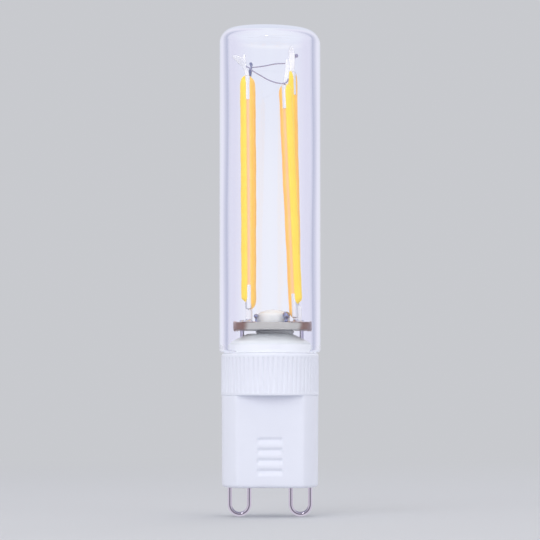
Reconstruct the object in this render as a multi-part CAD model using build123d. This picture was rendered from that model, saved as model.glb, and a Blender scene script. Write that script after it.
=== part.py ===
# Clear two-pin LED capsule lamp with four upright filaments.
# Millimetres. Origin: centre of the housing's bottom face, between the pins.
# +Z runs along the lamp to the glass crown, the pins hang below, and the front is -Y.
import os
from math import asin, cos, pi, radians, sin, sqrt, tan

from build123d import *

# Shank of the housing
shank_height = 13.5
shank_draft = 0.085
flat_distance = 5.2
shank_edge_bevel = 0.4
housing_wall = 0.72
floor_thickness = 2.0

# Ribbed collar of the housing
collar_height = 6.2
shank_step = 0.035
collar_top_bevel = 0.3
collar_foot_lip = 0.45
collar_top_band = 0.65
groove_count = 60
groove_depth = 0.12
groove_width = 0.4
groove_angle = -2.1

# Grip notches in both flats
notch_count = 4
notch_pitch = 1.52
notch_height = 1.3
notch_width = 3.84
notch_depth = 0.45
notch_top_z = 7.5

# Glass envelope
seam_gap = 0.17
glass_radius = 7.5
glass_wall = 1.2
crown_room = 9.47
collar_inset = 0.3
crown_thickness = 1.1
crown_rise = 0.35
crown_round = 2.2
inner_crown_round = 1.5
shoulder_steps = 2
rim_bevel = 0.3

# Carrier of the filament board
carrier_flange_height = 1.4
carrier_clearance = 0.05
carrier_foot_top = 1.3
carrier_dome_rise = 1.4
carrier_dome_steps = 2
carrier_neck_radius = 3.35
carrier_neck_height = 0.2
post_radius = 1.3
post_tip_radius = 0.9
adhesive_film = 0.1
adhesive_film_height = 0.8
fit_gap = 0.02

# Filament board and what is on it
board_edge_gap = 0.54
board_thickness = 1.05
board_offset = 0.4
bead_height = 0.55
bead_radius = 2.75
bead_bulge = 0.15
bead_offset = 0.75
cap_rim_gap = 3.31
cap_offset = 0.55
cap_height = 2.0
cap_side_height = 1.1
cap_dome_steps = 2
cap_wall = 0.8
copper_thickness = 0.1
pad_margin = 1.35
rim_pad_half_angle = 52.0
rim_pad_thickness = 0.08
solder_height = 0.4
solder_foot_radius = 0.8
solder_top_radius = 0.5
solder_sides = 8
foot_solder_share = 0.7
lead_solder_reach = 0.3
lead_solder_film = 0.08

# Posts beside the cap: direction from its centre, gap to its side, radius and height
terminals = {
    "left": {"direction": -156.4, "gap": 0.10, "radius": 0.45, "height": 1.25},
    "right": {"direction": -54.5, "gap": 0.04, "radius": 0.52, "height": 1.55},
}
terminal_neck_share = 0.85
terminal_top_share = 0.3

# Filaments
coating_length = 34.6
coating_width = 2.1
coating_depth = 1.8
coating_tip_length = 1.7
coating_tip_share = 0.45
coating_lobe_steps = 5
coating_tip_steps = 2
waist_depth = 0.24
waist_top_width = 0.86
waist_root_width = 0.42
substrate_width = 1.2
substrate_thickness = 0.3
substrate_inset = 0.5
chip_count = 8
chip_length = 1.2
chip_width = 0.4
chip_thickness = 0.15
crimp_length = 3.6
crimp_width = 1.56
crimp_thickness = 0.7
tongue_thickness = 0.25
tongue_root = 0.45
foot_tongue_width = 0.78

# Each filament: how far its foot and head stand in from the glass bore, the foot's height over the
# copper, and the turn of the filament about its own axis
filament_row_y = 2.6
filaments = {
    "front_left": {
        "side": -1, "row": -1, "foot_inset": 3.21, "head_inset": 3.00, "foot_height": 1.6, "turn": 10.0,
    },
    "back_left": {
        "side": -1, "row": 1, "foot_inset": 3.25, "head_inset": 3.15, "foot_height": 2.0, "turn": -8.0,
    },
    "front_right": {
        "side": 1, "row": -1, "foot_inset": 2.58, "head_inset": 4.10, "foot_height": 0.55, "turn": -23.0,
    },
    "back_right": {
        "side": 1, "row": 1, "foot_inset": 2.33, "head_inset": 3.07, "foot_height": 2.7, "turn": 38.0,
    },
}

# Outlines of the top tongues, in x and z from the head of their filament
tongue_outlines = {
    "front_left": [
        (-0.30, -0.45), (0.30, -0.45), (0.26, 0.70), (-0.06, 1.95), (-0.24, 3.30),
        (-0.88, 2.68), (-2.05, 3.02), (-1.25, 2.10), (-0.58, 1.30), (-0.32, 0.50),
    ],
    "back_left": [
        (-0.30, -0.45), (0.30, -0.45), (0.52, 0.60), (0.76, 1.70), (0.42, 2.35),
        (-0.18, 2.20), (-0.36, 0.90),
    ],
    "front_right": [
        (-0.30, -0.45), (0.30, -0.45), (0.42, 0.50), (0.52, 2.00), (0.46, 3.70),
        (0.06, 3.80), (-0.02, 2.00), (-0.24, 0.60),
    ],
    "back_right": [
        (-0.30, -0.45), (0.30, -0.45), (0.50, 0.40), (0.52, 2.20), (0.38, 3.40),
        (0.18, 3.90), (-0.22, 3.90), (-0.40, 3.20), (-0.34, 0.40),
    ],
}

# Link wires: x and z from the left filament's head, then from the right one's
link_diameter = 0.18
front_link_route = {
    "left": [(-0.12, 1.55), (0.80, 0.90), (1.85, 0.25)],
    "right": [(-2.30, 0.56), (-1.00, 0.20), (0.42, 0.88)],
}
back_link_route = {
    "left": [(0.30, 1.65), (2.25, 1.88)],
    "right": [(-2.33, 1.53), (-0.63, 1.63), (0.87, 2.91)],
}
link_end_bead_radius = 0.3

# Feed leads from the driver to the filament board
lead_diameter = 0.6
lead_left_x = -4.1
lead_right_x = 4.7
lead_tip = 0.3

# Contact pins: wire loops
pin_spacing = 9.0
pin_wire_diameter = 0.68
pin_leg_spacing = 2.87
pin_length = 4.33
outer_leg_depth = 0.4
inner_leg_overlap = 3.4
wire_sides = 12
thin_wire_sides = 8

# Driver board and its parts: sizes are width, thickness off the board and height
driver_edge_gap = 0.86
driver_thickness = 0.8
driver_floor_gap = 1.0
driver_top_gap = 0.9
rail_thickness = 0.6
rail_depth = 1.2
rail_foot_gap = 0.1
rail_top_drop = 4.4
lead_overlap = 2.6
rectifier_size = (4.7, 2.3, 3.9)
rectifier_x = 0.0
rectifier_rise = 1.4
rectifier_pitch = 2.5
regulator_size = (4.9, 1.5, 3.9)
regulator_x = -0.6
regulator_drop = 6.0
regulator_pitch = 1.27
gull_lead_width = 0.45
gull_lead_thickness = 0.2
gull_lead_reach = 1.0
capacitor_diameter = 3.8
capacitor_length = 6.4
capacitor_edge_inset = 3.1
capacitor_rise = 5.2
capacitor_lead_spacing = 1.8
capacitor_groove = 0.18
resistor_diameter = 2.1
resistor_length = 5.6
resistor_edge_inset = 3.1
resistor_rise = 5.2
resistor_cap_length = 1.2
component_lead_diameter = 0.5
component_lead_drop = 0.7
component_edge_bevel = 0.25
component_sides = 16
chip_resistor_size = (1.6, 0.55, 0.8)
chip_resistor_places = [(-1.9, 0.9), (0.9, 0.9), (3.1, 3.9)]
chip_capacitor_size = (1.6, 1.25, 2.9)
chip_capacitor_edge_inset = 2.15
chip_capacitor_rise = 5.4
joint_solder_radius = 0.85
joint_solder_tip_radius = 0.4
joint_solder_height = 0.95
pin_joint_drop = 1.2

# Levels and radii that follow from the sizes above
collar_radius = glass_radius - collar_inset
shank_top_radius = collar_radius - shank_step
shank_foot_radius = shank_top_radius - shank_draft
collar_top_z = shank_height + collar_height
glass_foot_z = collar_top_z + seam_gap
glass_bore_radius = glass_radius - glass_wall
cavity_radius = shank_foot_radius - housing_wall
cavity_flat = flat_distance - housing_wall
carrier_bottom_z = collar_top_z - carrier_flange_height
carrier_foot_radius = glass_bore_radius - adhesive_film - 2 * fit_gap
carrier_shoulder_z = collar_top_z + carrier_foot_top
neck_top_z = carrier_shoulder_z + carrier_dome_rise + carrier_neck_height
board_radius = glass_bore_radius - board_edge_gap
cap_radius = board_radius - cap_rim_gap
board_bottom_z = neck_top_z + bead_height
board_top_z = board_bottom_z + board_thickness
copper_top_z = board_top_z + copper_thickness
glass_top_z = copper_top_z + coating_length + crown_room
post_top_z = board_top_z + cap_height - cap_wall
lead_radius = lead_diameter / 2
pin_wire_radius = pin_wire_diameter / 2
outer_leg_top = floor_thickness + outer_leg_depth
driver_width = 2 * (cavity_radius - driver_edge_gap)
capacitor_x = capacitor_edge_inset - driver_width / 2
resistor_x = driver_width / 2 - resistor_edge_inset
chip_capacitor_x = driver_width / 2 - chip_capacitor_edge_inset
driver_front_y = pin_wire_radius + fit_gap
driver_back_y = driver_front_y + driver_thickness
driver_bottom_z = floor_thickness + driver_floor_gap
driver_top_z = carrier_bottom_z - driver_top_gap
inner_leg_top = driver_bottom_z + inner_leg_overlap
rail_low_z = outer_leg_top + rail_foot_gap
rail_top_z = driver_top_z - rail_top_drop
rectifier_z = driver_bottom_z + rectifier_rise
regulator_z = driver_top_z - regulator_drop
capacitor_z = driver_bottom_z + capacitor_rise
resistor_z = driver_bottom_z + resistor_rise
back_distance = max(shank_top_radius, collar_radius) * 4


def ring_at(radius, plane_z):
    """A filled circle on a level plane."""
    return Plane.XY.offset(plane_z) * Circle(radius)


def cylinder(radius, z_low, z_high, x=0.0, y=0.0):
    """An upright cylinder between two levels."""
    return Pos(x, y, (z_low + z_high) / 2) * Cylinder(radius, z_high - z_low)


def block(size_x, size_y, size_z, x, y, z_low):
    """An upright block with its foot at z_low."""
    return Pos(x, y, z_low + size_z / 2) * Box(size_x, size_y, size_z)


def between_flats(distance, z_low, z_high):
    """The slab between the front and back flats."""
    return block(back_distance, 2 * distance, z_high - z_low, 0, 0, z_low)


def turned(points):
    """A solid of revolution about Z from its outline, given as radius and z."""
    outline = Polyline(*[(radius, 0, z) for radius, z in points], close=True)
    return revolve(make_face(outline), Axis.Z)


def rounded_shoulder(edge_radius, low_z, centre_radius, top_z, steps):
    """Points of a quarter ellipse from an upright wall in to a level top."""
    turns = [step * pi / 2 / steps for step in range(steps + 1)]
    width = edge_radius - centre_radius
    height = top_z - low_z
    return [(centre_radius + width * cos(turn), low_z + height * sin(turn)) for turn in turns]


def faceted(points, sides):
    """A small many-sided solid about Z from its outline, given as radius and z."""
    return loft([Plane.XY.offset(z) * RegularPolygon(radius, sides) for radius, z in points], ruled=True)


def wire_along(points, radius, sides):
    """Thin wire through its route points, with mitred bends."""
    path = Polyline(*points)
    section = Plane(origin=path @ 0, z_dir=path % 0) * RegularPolygon(radius, sides)
    return sweep(section, path=path, transition=Transition.RIGHT)


def make_shank():
    """Drafted round column with two flats and a bevelled foot edge."""
    column = loft([ring_at(shank_foot_radius, 0), ring_at(shank_top_radius, shank_height)])
    column &= between_flats(flat_distance, -1, shank_height + 1)
    foot_edges = column.edges().group_by(Axis.Z)[0]
    return chamfer(foot_edges, shank_edge_bevel)


def make_collar():
    """Plain bands above and below a ring of fine upright ribs."""
    ribs_low = shank_height + collar_foot_lip
    ribs_high = collar_top_z - collar_top_band
    collar = cylinder(collar_radius, shank_height, collar_top_z)
    top_edge = collar.edges().group_by(Axis.Z)[-1]
    collar = chamfer(top_edge, collar_top_bevel)
    slope = groove_width / 2 / groove_depth
    outside = collar_radius + groove_depth
    groove = make_face(
        Polyline(
            (collar_radius - groove_depth, 0),
            (outside, 2 * groove_depth * slope),
            (outside, -2 * groove_depth * slope),
            close=True,
        )
    )
    grooves = Sketch() + [
        Rot(0, 0, -90 + groove_angle + index * 360 / groove_count) * groove for index in range(groove_count)
    ]
    return collar - extrude(Plane.XY.offset(ribs_low) * grooves, ribs_high - ribs_low)


def make_notches(side):
    """Sawtooth grip notches: a step in at the top and a ramp out to the flat below."""
    notches = []
    for index in range(notch_count):
        top = notch_top_z - index * notch_pitch
        outline = make_face(
            Polyline(
                (side * (flat_distance + notch_depth), top),
                (side * (flat_distance - notch_depth), top),
                (side * flat_distance, top - notch_height),
                (side * (flat_distance + notch_depth), top - notch_height),
                close=True,
            )
        )
        tooth = extrude(Plane.YZ * outline, notch_width / 2, both=True)
        notches.append(tooth)
    return notches


def make_base_housing():
    """One moulding: shank, ribbed collar, floor with leg holes, and rails for the driver board."""
    body = make_shank() + make_collar()
    for side in (-1, 1):
        body -= make_notches(side)
    cavity = cylinder(cavity_radius, floor_thickness, carrier_bottom_z)
    cavity &= between_flats(cavity_flat, floor_thickness, carrier_bottom_z)
    mouth = cylinder(glass_bore_radius + carrier_clearance, carrier_bottom_z, collar_top_z + 1)
    body = body - cavity - mouth
    body += make_rails()
    for x in leg_places():
        body -= cylinder(pin_wire_radius + fit_gap, -1, floor_thickness + 1, x)
    return body


def make_rails():
    """Two pairs of upright rails that hold the edges of the driver board."""
    reach = cavity_radius + housing_wall / 2
    inner_x = driver_width / 2 - rail_depth
    half = rail_thickness / 2
    rails = []
    for side in (-1, 1):
        for y in (driver_front_y - fit_gap - half, driver_back_y + fit_gap + half):
            middle_x = side * (reach + inner_x) / 2
            height = rail_top_z - rail_low_z
            rails.append(block(reach - inner_x, rail_thickness, height, middle_x, y, rail_low_z))
    return rails


def leg_places():
    """X of the four pin legs."""
    return [
        side * pin_spacing / 2 + leg * pin_leg_spacing / 2
        for side in (-1, 1)
        for leg in (-1, 1)
    ]


def make_contact_pin(side):
    """A loop of round wire: the inner leg runs up to the driver board, the outer one ends in the floor."""
    centre = side * pin_spacing / 2
    half = pin_leg_spacing / 2
    inner_x = centre - side * half
    outer_x = centre + side * half
    bend_z = -pin_length + pin_wire_radius + half
    path = Wire(
        [
            Line((inner_x, 0, inner_leg_top), (inner_x, 0, bend_z)),
            ThreePointArc((inner_x, 0, bend_z), (centre, 0, bend_z - half), (outer_x, 0, bend_z)),
            Line((outer_x, 0, bend_z), (outer_x, 0, outer_leg_top)),
        ]
    )
    start = Plane((inner_x, 0, inner_leg_top), z_dir=(0, 0, -1))
    section = start * RegularPolygon(pin_wire_radius, wire_sides)
    return sweep(section, path=path)


def crown_profile(wall_radius, top_z, rise, shoulder_round):
    """Outline from a tube's wall over its rounded shoulder and an almost flat crown to the axis."""
    rim_z = top_z - rise
    rim_radius = wall_radius - shoulder_round
    shoulder = rounded_shoulder(wall_radius, rim_z - shoulder_round, rim_radius, rim_z, shoulder_steps)
    return shoulder + [(0, top_z)]


def make_glass_envelope():
    """Thick tube, bevelled at its rim and closed by a crown that is flat inside and slightly domed."""
    inner_top_z = glass_top_z - crown_rise - crown_thickness
    outside = crown_profile(glass_radius, glass_top_z, crown_rise, crown_round)
    inside = crown_profile(glass_bore_radius, inner_top_z, 0, inner_crown_round)
    rim = [
        (glass_bore_radius, glass_foot_z + rim_bevel),
        (glass_bore_radius + rim_bevel, glass_foot_z),
        (glass_radius - rim_bevel, glass_foot_z),
        (glass_radius, glass_foot_z + rim_bevel),
    ]
    return turned(rim + outside + inside[::-1])


def make_glass_adhesive():
    """Ring in the seam below the glass rim, with a film up the bore of the glass."""
    inner = carrier_foot_radius + fit_gap
    film_outer = glass_bore_radius - fit_gap
    seam_outer = collar_radius - collar_top_bevel
    film_top = glass_foot_z + adhesive_film_height
    return turned(
        [
            (inner, collar_top_z),
            (seam_outer, collar_top_z),
            (seam_outer, glass_foot_z),
            (film_outer, glass_foot_z),
            (film_outer, film_top),
            (inner, film_top),
        ]
    )


def lead_holes(radius, z_low, z_high):
    """Upright holes for the two feed leads."""
    return [cylinder(radius, z_low, z_high, x) for x in (lead_left_x, lead_right_x)]


def make_filament_carrier():
    """Plug with a flange in the collar, a domed shoulder, a neck and a stepped post."""
    dome_top = carrier_shoulder_z + carrier_dome_rise
    dome = rounded_shoulder(
        carrier_foot_radius, carrier_shoulder_z, carrier_neck_radius, dome_top, carrier_dome_steps
    )
    plug = turned(
        [
            (0, carrier_bottom_z),
            (glass_bore_radius, carrier_bottom_z),
            (glass_bore_radius, collar_top_z),
            (carrier_foot_radius, collar_top_z),
            *dome,
            (carrier_neck_radius, neck_top_z),
            (0, neck_top_z),
        ]
    )
    plug += cylinder(post_radius, neck_top_z, board_bottom_z, cap_offset)
    plug += cylinder(post_tip_radius, board_bottom_z, post_top_z, cap_offset)
    return plug - lead_holes(lead_radius + fit_gap, carrier_bottom_z - 1, board_bottom_z)


def make_board_bead():
    """Clear bead squeezed between the carrier's neck and the board."""
    middle_z = (neck_top_z + board_bottom_z) / 2
    bead = turned(
        [
            (0, neck_top_z),
            (bead_radius, neck_top_z),
            (bead_radius + bead_bulge, middle_z),
            (bead_radius, board_bottom_z),
            (0, board_bottom_z),
        ]
    )
    post_hole = cylinder(post_radius + fit_gap, neck_top_z - 1, board_top_z, cap_offset)
    return Pos(bead_offset, 0, 0) * bead - post_hole


def make_filament_board():
    """Round board with a hole for the post and two for the feed leads."""
    board = cylinder(board_radius, board_bottom_z, board_top_z, board_offset)
    board -= cylinder(post_tip_radius + fit_gap, board_bottom_z - 1, copper_top_z + 1, cap_offset)
    board -= lead_holes(lead_radius + fit_gap, board_bottom_z - 1, copper_top_z + 1)
    return board


def make_board_copper():
    """On each side a pad under the two filament feet, run over the board's rim."""
    disc = cylinder(board_radius, board_top_z, copper_top_z, board_offset)
    rim = cylinder(board_radius + rim_pad_thickness, board_bottom_z, copper_top_z, board_offset)
    rim -= cylinder(board_radius, board_bottom_z - 1, board_top_z, board_offset)
    copper = Part()
    for side in (-1, 1):
        feet = [filament_axis(name)[0].X * side for name in filaments if filaments[name]["side"] == side]
        inner_x = min(feet) - pad_margin
        middle_x = side * (inner_x + back_distance / 2)
        half_plane = block(back_distance, back_distance, back_distance, middle_x, 0, 0)
        pad = disc & half_plane
        sector = make_rim_sector(side)
        copper += pad + (rim & sector)
    copper -= cylinder(cap_radius + fit_gap, board_bottom_z, glass_top_z, cap_offset)
    return copper - lead_holes(lead_radius + fit_gap, board_bottom_z, glass_top_z)


def make_rim_sector(side):
    """Wedge about the board's centre that bounds the plating on one side of its rim."""
    reach = side * back_distance
    half_width = back_distance * tan(radians(rim_pad_half_angle))
    outline = make_face(Polyline((0, 0), (reach, half_width), (reach, -half_width), close=True))
    return Pos(board_offset, 0, 0) * extrude(outline, glass_top_z)


def make_board_cap():
    """White domed cap pressed over the post."""
    side_top = board_top_z + cap_side_height
    cap_top = board_top_z + cap_height
    dome = rounded_shoulder(cap_radius, side_top, 0, cap_top, cap_dome_steps)
    cap = turned([(0, board_top_z), (cap_radius, board_top_z), *dome])
    bore = cylinder(post_tip_radius + fit_gap, board_top_z - 1, post_top_z + fit_gap)
    return Pos(cap_offset, 0, 0) * (cap - bore)


def make_board_terminals():
    """Two rounded solder posts beside the cap."""
    posts = []
    for data in terminals.values():
        radius = data["radius"]
        top_z = copper_top_z + data["height"]
        turn = radians(data["direction"])
        distance = cap_radius + data["gap"] + radius
        dome = rounded_shoulder(
            radius * terminal_neck_share, top_z - radius, radius * terminal_top_share, top_z, 2
        )
        post = faceted([(radius, copper_top_z), *dome], wire_sides)
        posts.append(Pos(cap_offset + distance * cos(turn), distance * sin(turn), 0) * post)
    return Part() + posts


def solder_cone(x, y, foot_radius, top_radius, height):
    """A fillet of solder that stands on the board's copper."""
    levels = [(foot_radius, copper_top_z), (top_radius, copper_top_z + height)]
    return Pos(x, y, 0) * faceted(levels, solder_sides)


def filament_axis(name):
    """Foot, head and unit direction of a filament's axis."""
    data = filaments[name]
    foot_x, head_x = [data["side"] * (glass_bore_radius - data[end]) for end in ("foot_inset", "head_inset")]
    foot = Vector(foot_x, data["row"] * filament_row_y, copper_top_z + data["foot_height"])
    rise = sqrt(coating_length**2 - (head_x - foot_x) ** 2)
    head = Vector(head_x, foot.Y, foot.Z + rise)
    return foot, head, (head - foot).normalized()


def filament_place(name):
    """Location that carries a filament built along Z from the origin to its place."""
    foot, _, direction = filament_axis(name)
    frame = Plane(origin=foot, x_dir=(direction.Z, 0, -direction.X), z_dir=direction)
    return frame.location * Rot(0, 0, filaments[name]["turn"])


def make_substrate():
    """Thin strip that carries the chips."""
    length = coating_length - 2 * substrate_inset
    return block(substrate_thickness, substrate_width, length, 0, 0, substrate_inset)


def make_chips():
    """Row of chips on one face of the substrate."""
    first = crimp_length + substrate_inset
    last = coating_length - crimp_length - substrate_inset - chip_length
    pitch = (last - first) / (chip_count - 1)
    x = substrate_thickness / 2 + chip_thickness / 2
    return [
        block(chip_thickness, chip_width, chip_length, x, 0, first + index * pitch)
        for index in range(chip_count)
    ]


def make_crimp(at_head):
    """Folded metal end that grips the substrate, with its edges showing in the coating's waist."""
    low = coating_length - crimp_length if at_head else 0.0
    grip = block(crimp_thickness, crimp_width, crimp_length, 0, 0, low)
    return grip - make_substrate()


def coating_outline(share):
    """Section of the coating as a share of its full width: two round lobes with a waist between them."""
    half_width = share * coating_width / 2
    half_depth = share * coating_depth / 2
    top_x = share * waist_top_width / 2
    root_x = share * waist_root_width / 2
    root_y = half_depth - share * waist_depth
    start = asin(top_x / half_width)
    points = []
    for side in (1, -1):
        for step in range(coating_lobe_steps + 1):
            turn = start + (pi - 2 * start) * step / coating_lobe_steps
            points.append((side * half_width * sin(turn), side * half_depth * cos(turn)))
        points += [(side * root_x, -side * root_y), (-side * root_x, -side * root_y)]
    return points


def make_coating():
    """Two phosphor lobes with a waist along the substrate's edges and tapered tips."""
    taper = rounded_shoulder(1.0, 0.0, coating_tip_share, coating_tip_length, coating_tip_steps)
    levels = [(share, coating_tip_length - rise) for share, rise in taper[::-1]]
    levels += [(share, coating_length - coating_tip_length + rise) for share, rise in taper]
    sections = [
        Plane.XY.offset(height) * make_face(Polyline(*coating_outline(share), close=True))
        for share, height in levels
    ]
    coating = loft(sections, ruled=True)
    coating -= make_substrate()
    coating -= make_chips()
    head_low = coating_length - crimp_length
    for low in (-1, head_low):
        coating -= block(crimp_thickness, crimp_width, crimp_length + 1, 0, 0, low)
    return coating


def make_top_tab(name):
    """Crimped end and bent tongue at a filament's head."""
    head = filament_axis(name)[1]
    corners = [(head.X + x, head.Z + z) for x, z in tongue_outlines[name]]
    outline = make_face(Polyline(*corners, close=True))
    tongue = extrude(Plane.XZ * outline, tongue_thickness / 2, both=True)
    return filament_place(name) * make_crimp(True) + Pos(0, head.Y, 0) * tongue


def make_foot_tab(name):
    """Crimped end and straight tongue that stands on the board's copper."""
    foot = filament_axis(name)[0]
    top = foot.Z + tongue_root
    tongue = block(foot_tongue_width, tongue_thickness, top - copper_top_z, foot.X, foot.Y, copper_top_z)
    tab = filament_place(name) * make_crimp(False) + tongue
    below_copper = block(back_distance, back_distance, copper_top_z, 0, 0, 0)
    return tab - below_copper


def make_foot_solder():
    """Solder round the foot of each filament tab."""
    fillets = []
    for name in filaments:
        foot = filament_axis(name)[0]
        height = min(solder_height, filaments[name]["foot_height"] * foot_solder_share)
        cone = solder_cone(foot.X, foot.Y, solder_foot_radius, solder_top_radius, height)
        fillets.append(cone - make_foot_tab(name))
    return Part() + fillets


def make_feed_lead(x):
    """Round lead from the driver board up through the carrier and the filament board."""
    ends = [(lead_radius, driver_top_z - lead_overlap), (lead_radius, copper_top_z + lead_tip)]
    return Pos(x, 0, 0) * faceted(ends, wire_sides)


def make_lead_solder():
    """Solder round the upper tips of the feed leads."""
    fillets = []
    for x in (lead_left_x, lead_right_x):
        cone = solder_cone(
            x, 0, lead_radius + lead_solder_reach, lead_radius + lead_solder_film, solder_height
        )
        fillets.append(cone - make_feed_lead(x))
    return Part() + fillets


def make_link(row, route, end_bead):
    """Thin wire from tongue to tongue, with a melted bead at its right end where it has one."""
    stand_off = tongue_thickness / 2 + link_diameter / 2
    points = []
    for name in ("left", "right"):
        head = filament_axis(f"{row}_{name}")[1]
        y = head.Y + filaments[f"{row}_{name}"]["row"] * stand_off
        points += [(head.X + x, y, head.Z + z) for x, z in route[name]]
    wire = wire_along(points, link_diameter / 2, thin_wire_sides)
    if end_bead:
        radius = link_end_bead_radius
        half = rounded_shoulder(radius, 0, radius * 0.3, radius, 2)
        bead = faceted([(across, -up) for across, up in half[:0:-1]] + half, thin_wire_sides)
        wire += Pos(*points[-1]) * bead
    return wire


def make_driver_board():
    """Upright board held by its edges in the housing's rails."""
    middle_y = (driver_front_y + driver_back_y) / 2
    height = driver_top_z - driver_bottom_z
    return block(driver_width, driver_thickness, height, 0, middle_y, driver_bottom_z)


def on_back(size, x, z):
    """A block seated on the back face of the driver board."""
    return block(size[0], size[1], size[2], x, driver_back_y + size[1] / 2, z)


def make_package(size, x, z, lead_xs):
    """Moulded package on the board's back, with leads bent down to the board above and below it."""
    body = on_back(size, x, z)
    outer_edges = body.faces().sort_by(Axis.Y)[-1].edges()
    package = chamfer(outer_edges, component_edge_bevel)
    middle_y = driver_back_y + size[1] / 2
    for lead_x in lead_xs:
        for edge_z, way in ((z, -1), (z + size[2], 1)):
            low = min(edge_z, edge_z + way * gull_lead_reach)
            arm_low = min(edge_z, edge_z + way * gull_lead_reach / 2)
            foot = block(
                gull_lead_width, gull_lead_thickness, gull_lead_reach,
                lead_x, driver_back_y + gull_lead_thickness / 2, low,
            )
            arm = block(
                gull_lead_width, gull_lead_thickness, gull_lead_reach / 2,
                lead_x, middle_y, arm_low,
            )
            drop_low = edge_z + way * gull_lead_reach / 2 - gull_lead_thickness / 2
            drop_depth = middle_y - driver_back_y + gull_lead_thickness / 2
            drop = block(
                gull_lead_width, drop_depth, gull_lead_thickness,
                lead_x, driver_back_y + drop_depth / 2, drop_low,
            )
            package += foot + arm + drop
    return package


def make_bridge_rectifier():
    """Four-lead rectifier package."""
    xs = [rectifier_x - rectifier_pitch / 2, rectifier_x + rectifier_pitch / 2]
    return make_package(rectifier_size, rectifier_x, rectifier_z, xs)


def make_current_regulator():
    """Six-lead driver package."""
    xs = [regulator_x + step * regulator_pitch for step in (-1, 0, 1)]
    return make_package(regulator_size, regulator_x, regulator_z, xs)


def component_lead(x, y, top_z):
    """Wire that leaves a component downwards and turns in to the driver board."""
    turn_z = top_z - component_lead_drop
    route = [(x, y, top_z), (x, y, turn_z), (x, driver_front_y, turn_z)]
    return wire_along(route, component_lead_diameter / 2, thin_wire_sides)


def make_capacitor():
    """Round capacitor along the driver board, with a groove near its foot and two leads."""
    radius = capacitor_diameter / 2
    bevel = component_edge_bevel
    y = driver_front_y - radius - fit_gap
    groove_z = capacitor_z + 2 * component_lead_diameter
    top_z = capacitor_z + capacitor_length
    outline = [
        (radius - bevel, capacitor_z),
        (radius, capacitor_z + bevel),
        (radius, groove_z - capacitor_groove),
        (radius - capacitor_groove, groove_z),
        (radius, groove_z + capacitor_groove),
        (radius, top_z - bevel),
        (radius - bevel, top_z),
    ]
    can = faceted(outline, component_sides)
    leads = [
        component_lead(capacitor_x + side * capacitor_lead_spacing / 2, y, capacitor_z) for side in (-1, 1)
    ]
    return Pos(capacitor_x, y, 0) * can + leads


def make_resistor():
    """Resistor upright beside the driver board, with end caps and a lead at its foot and its head."""
    radius = resistor_diameter / 2
    waist = radius - component_edge_bevel / 2
    y = driver_front_y - radius - fit_gap
    top_z = resistor_z + resistor_length
    outline = [
        (waist, resistor_z),
        (radius, resistor_z + component_edge_bevel),
        (radius, resistor_z + resistor_cap_length),
        (waist, resistor_z + resistor_cap_length + component_edge_bevel),
        (waist, top_z - resistor_cap_length - component_edge_bevel),
        (radius, top_z - resistor_cap_length),
        (radius, top_z - component_edge_bevel),
        (waist, top_z),
    ]
    body = faceted(outline, component_sides)
    foot_lead = component_lead(resistor_x, y, resistor_z)
    head_lead = mirror(foot_lead, Plane.XY.offset((resistor_z + top_z) / 2))
    return Pos(resistor_x, y, 0) * body + foot_lead + head_lead


def make_chip_resistors():
    """Small flat resistors on the board's back."""
    return Part() + [
        on_back(chip_resistor_size, x, driver_top_z - drop) for x, drop in chip_resistor_places
    ]


def make_chip_capacitor():
    """Small block capacitor on the board's back."""
    return on_back(chip_capacitor_size, chip_capacitor_x, driver_bottom_z + chip_capacitor_rise)


def make_driver_solder():
    """Solder that joins the inner pin legs and the feed leads to the driver board."""
    inner_leg_x = (pin_spacing - pin_leg_spacing) / 2
    pin_joint_z = inner_leg_top - pin_joint_drop
    lead_joint_z = driver_top_z - lead_overlap / 2
    wires = [(side * inner_leg_x, pin_joint_z, make_contact_pin(side)) for side in (-1, 1)]
    wires += [(x, lead_joint_z, make_feed_lead(x)) for x in (lead_left_x, lead_right_x)]
    levels = [(joint_solder_radius, 0), (joint_solder_tip_radius, joint_solder_height)]
    joint = Rot(90, 0, 0) * faceted(levels, solder_sides)
    return Part() + [Pos(x, driver_front_y, z) * joint - wire for x, z, wire in wires]


def build_parts():
    """Every sub-part by its node name."""
    parts = {
        "base_housing": make_base_housing(),
        "glass_envelope": make_glass_envelope(),
        "glass_adhesive": make_glass_adhesive(),
        "filament_carrier": make_filament_carrier(),
        "board_bead": make_board_bead(),
        "filament_board": make_filament_board(),
        "board_copper": make_board_copper(),
        "board_cap": make_board_cap(),
        "foot_solder": make_foot_solder(),
        "lead_solder": make_lead_solder(),
        "feed_lead_left": make_feed_lead(lead_left_x),
        "feed_lead_right": make_feed_lead(lead_right_x),
        "contact_pin_left": make_contact_pin(-1),
        "contact_pin_right": make_contact_pin(1),
        "board_terminals": make_board_terminals(),
        "driver_board": make_driver_board(),
        "driver_solder": make_driver_solder(),
        "bridge_rectifier": make_bridge_rectifier(),
        "current_regulator": make_current_regulator(),
        "chip_resistors": make_chip_resistors(),
        "chip_capacitor": make_chip_capacitor(),
        "smoothing_capacitor": make_capacitor(),
        "fusible_resistor": make_resistor(),
    }
    for name in filaments:
        place = filament_place(name)
        parts[f"filament_{name}_coating"] = place * make_coating()
        parts[f"filament_{name}_substrate"] = place * make_substrate()
        parts[f"filament_{name}_chips"] = place * (Part() + make_chips())
        parts[f"filament_{name}_top_tab"] = make_top_tab(name)
        parts[f"filament_{name}_foot_tab"] = make_foot_tab(name)
    parts["link_wire_front"] = make_link("front", front_link_route, False)
    parts["link_wire_back"] = make_link("back", back_link_route, True)
    return parts


def main():
    os.makedirs("parts", exist_ok=True)
    for name, solid in build_parts().items():
        export_step(solid, f"parts/{name}.step")


main()
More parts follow.
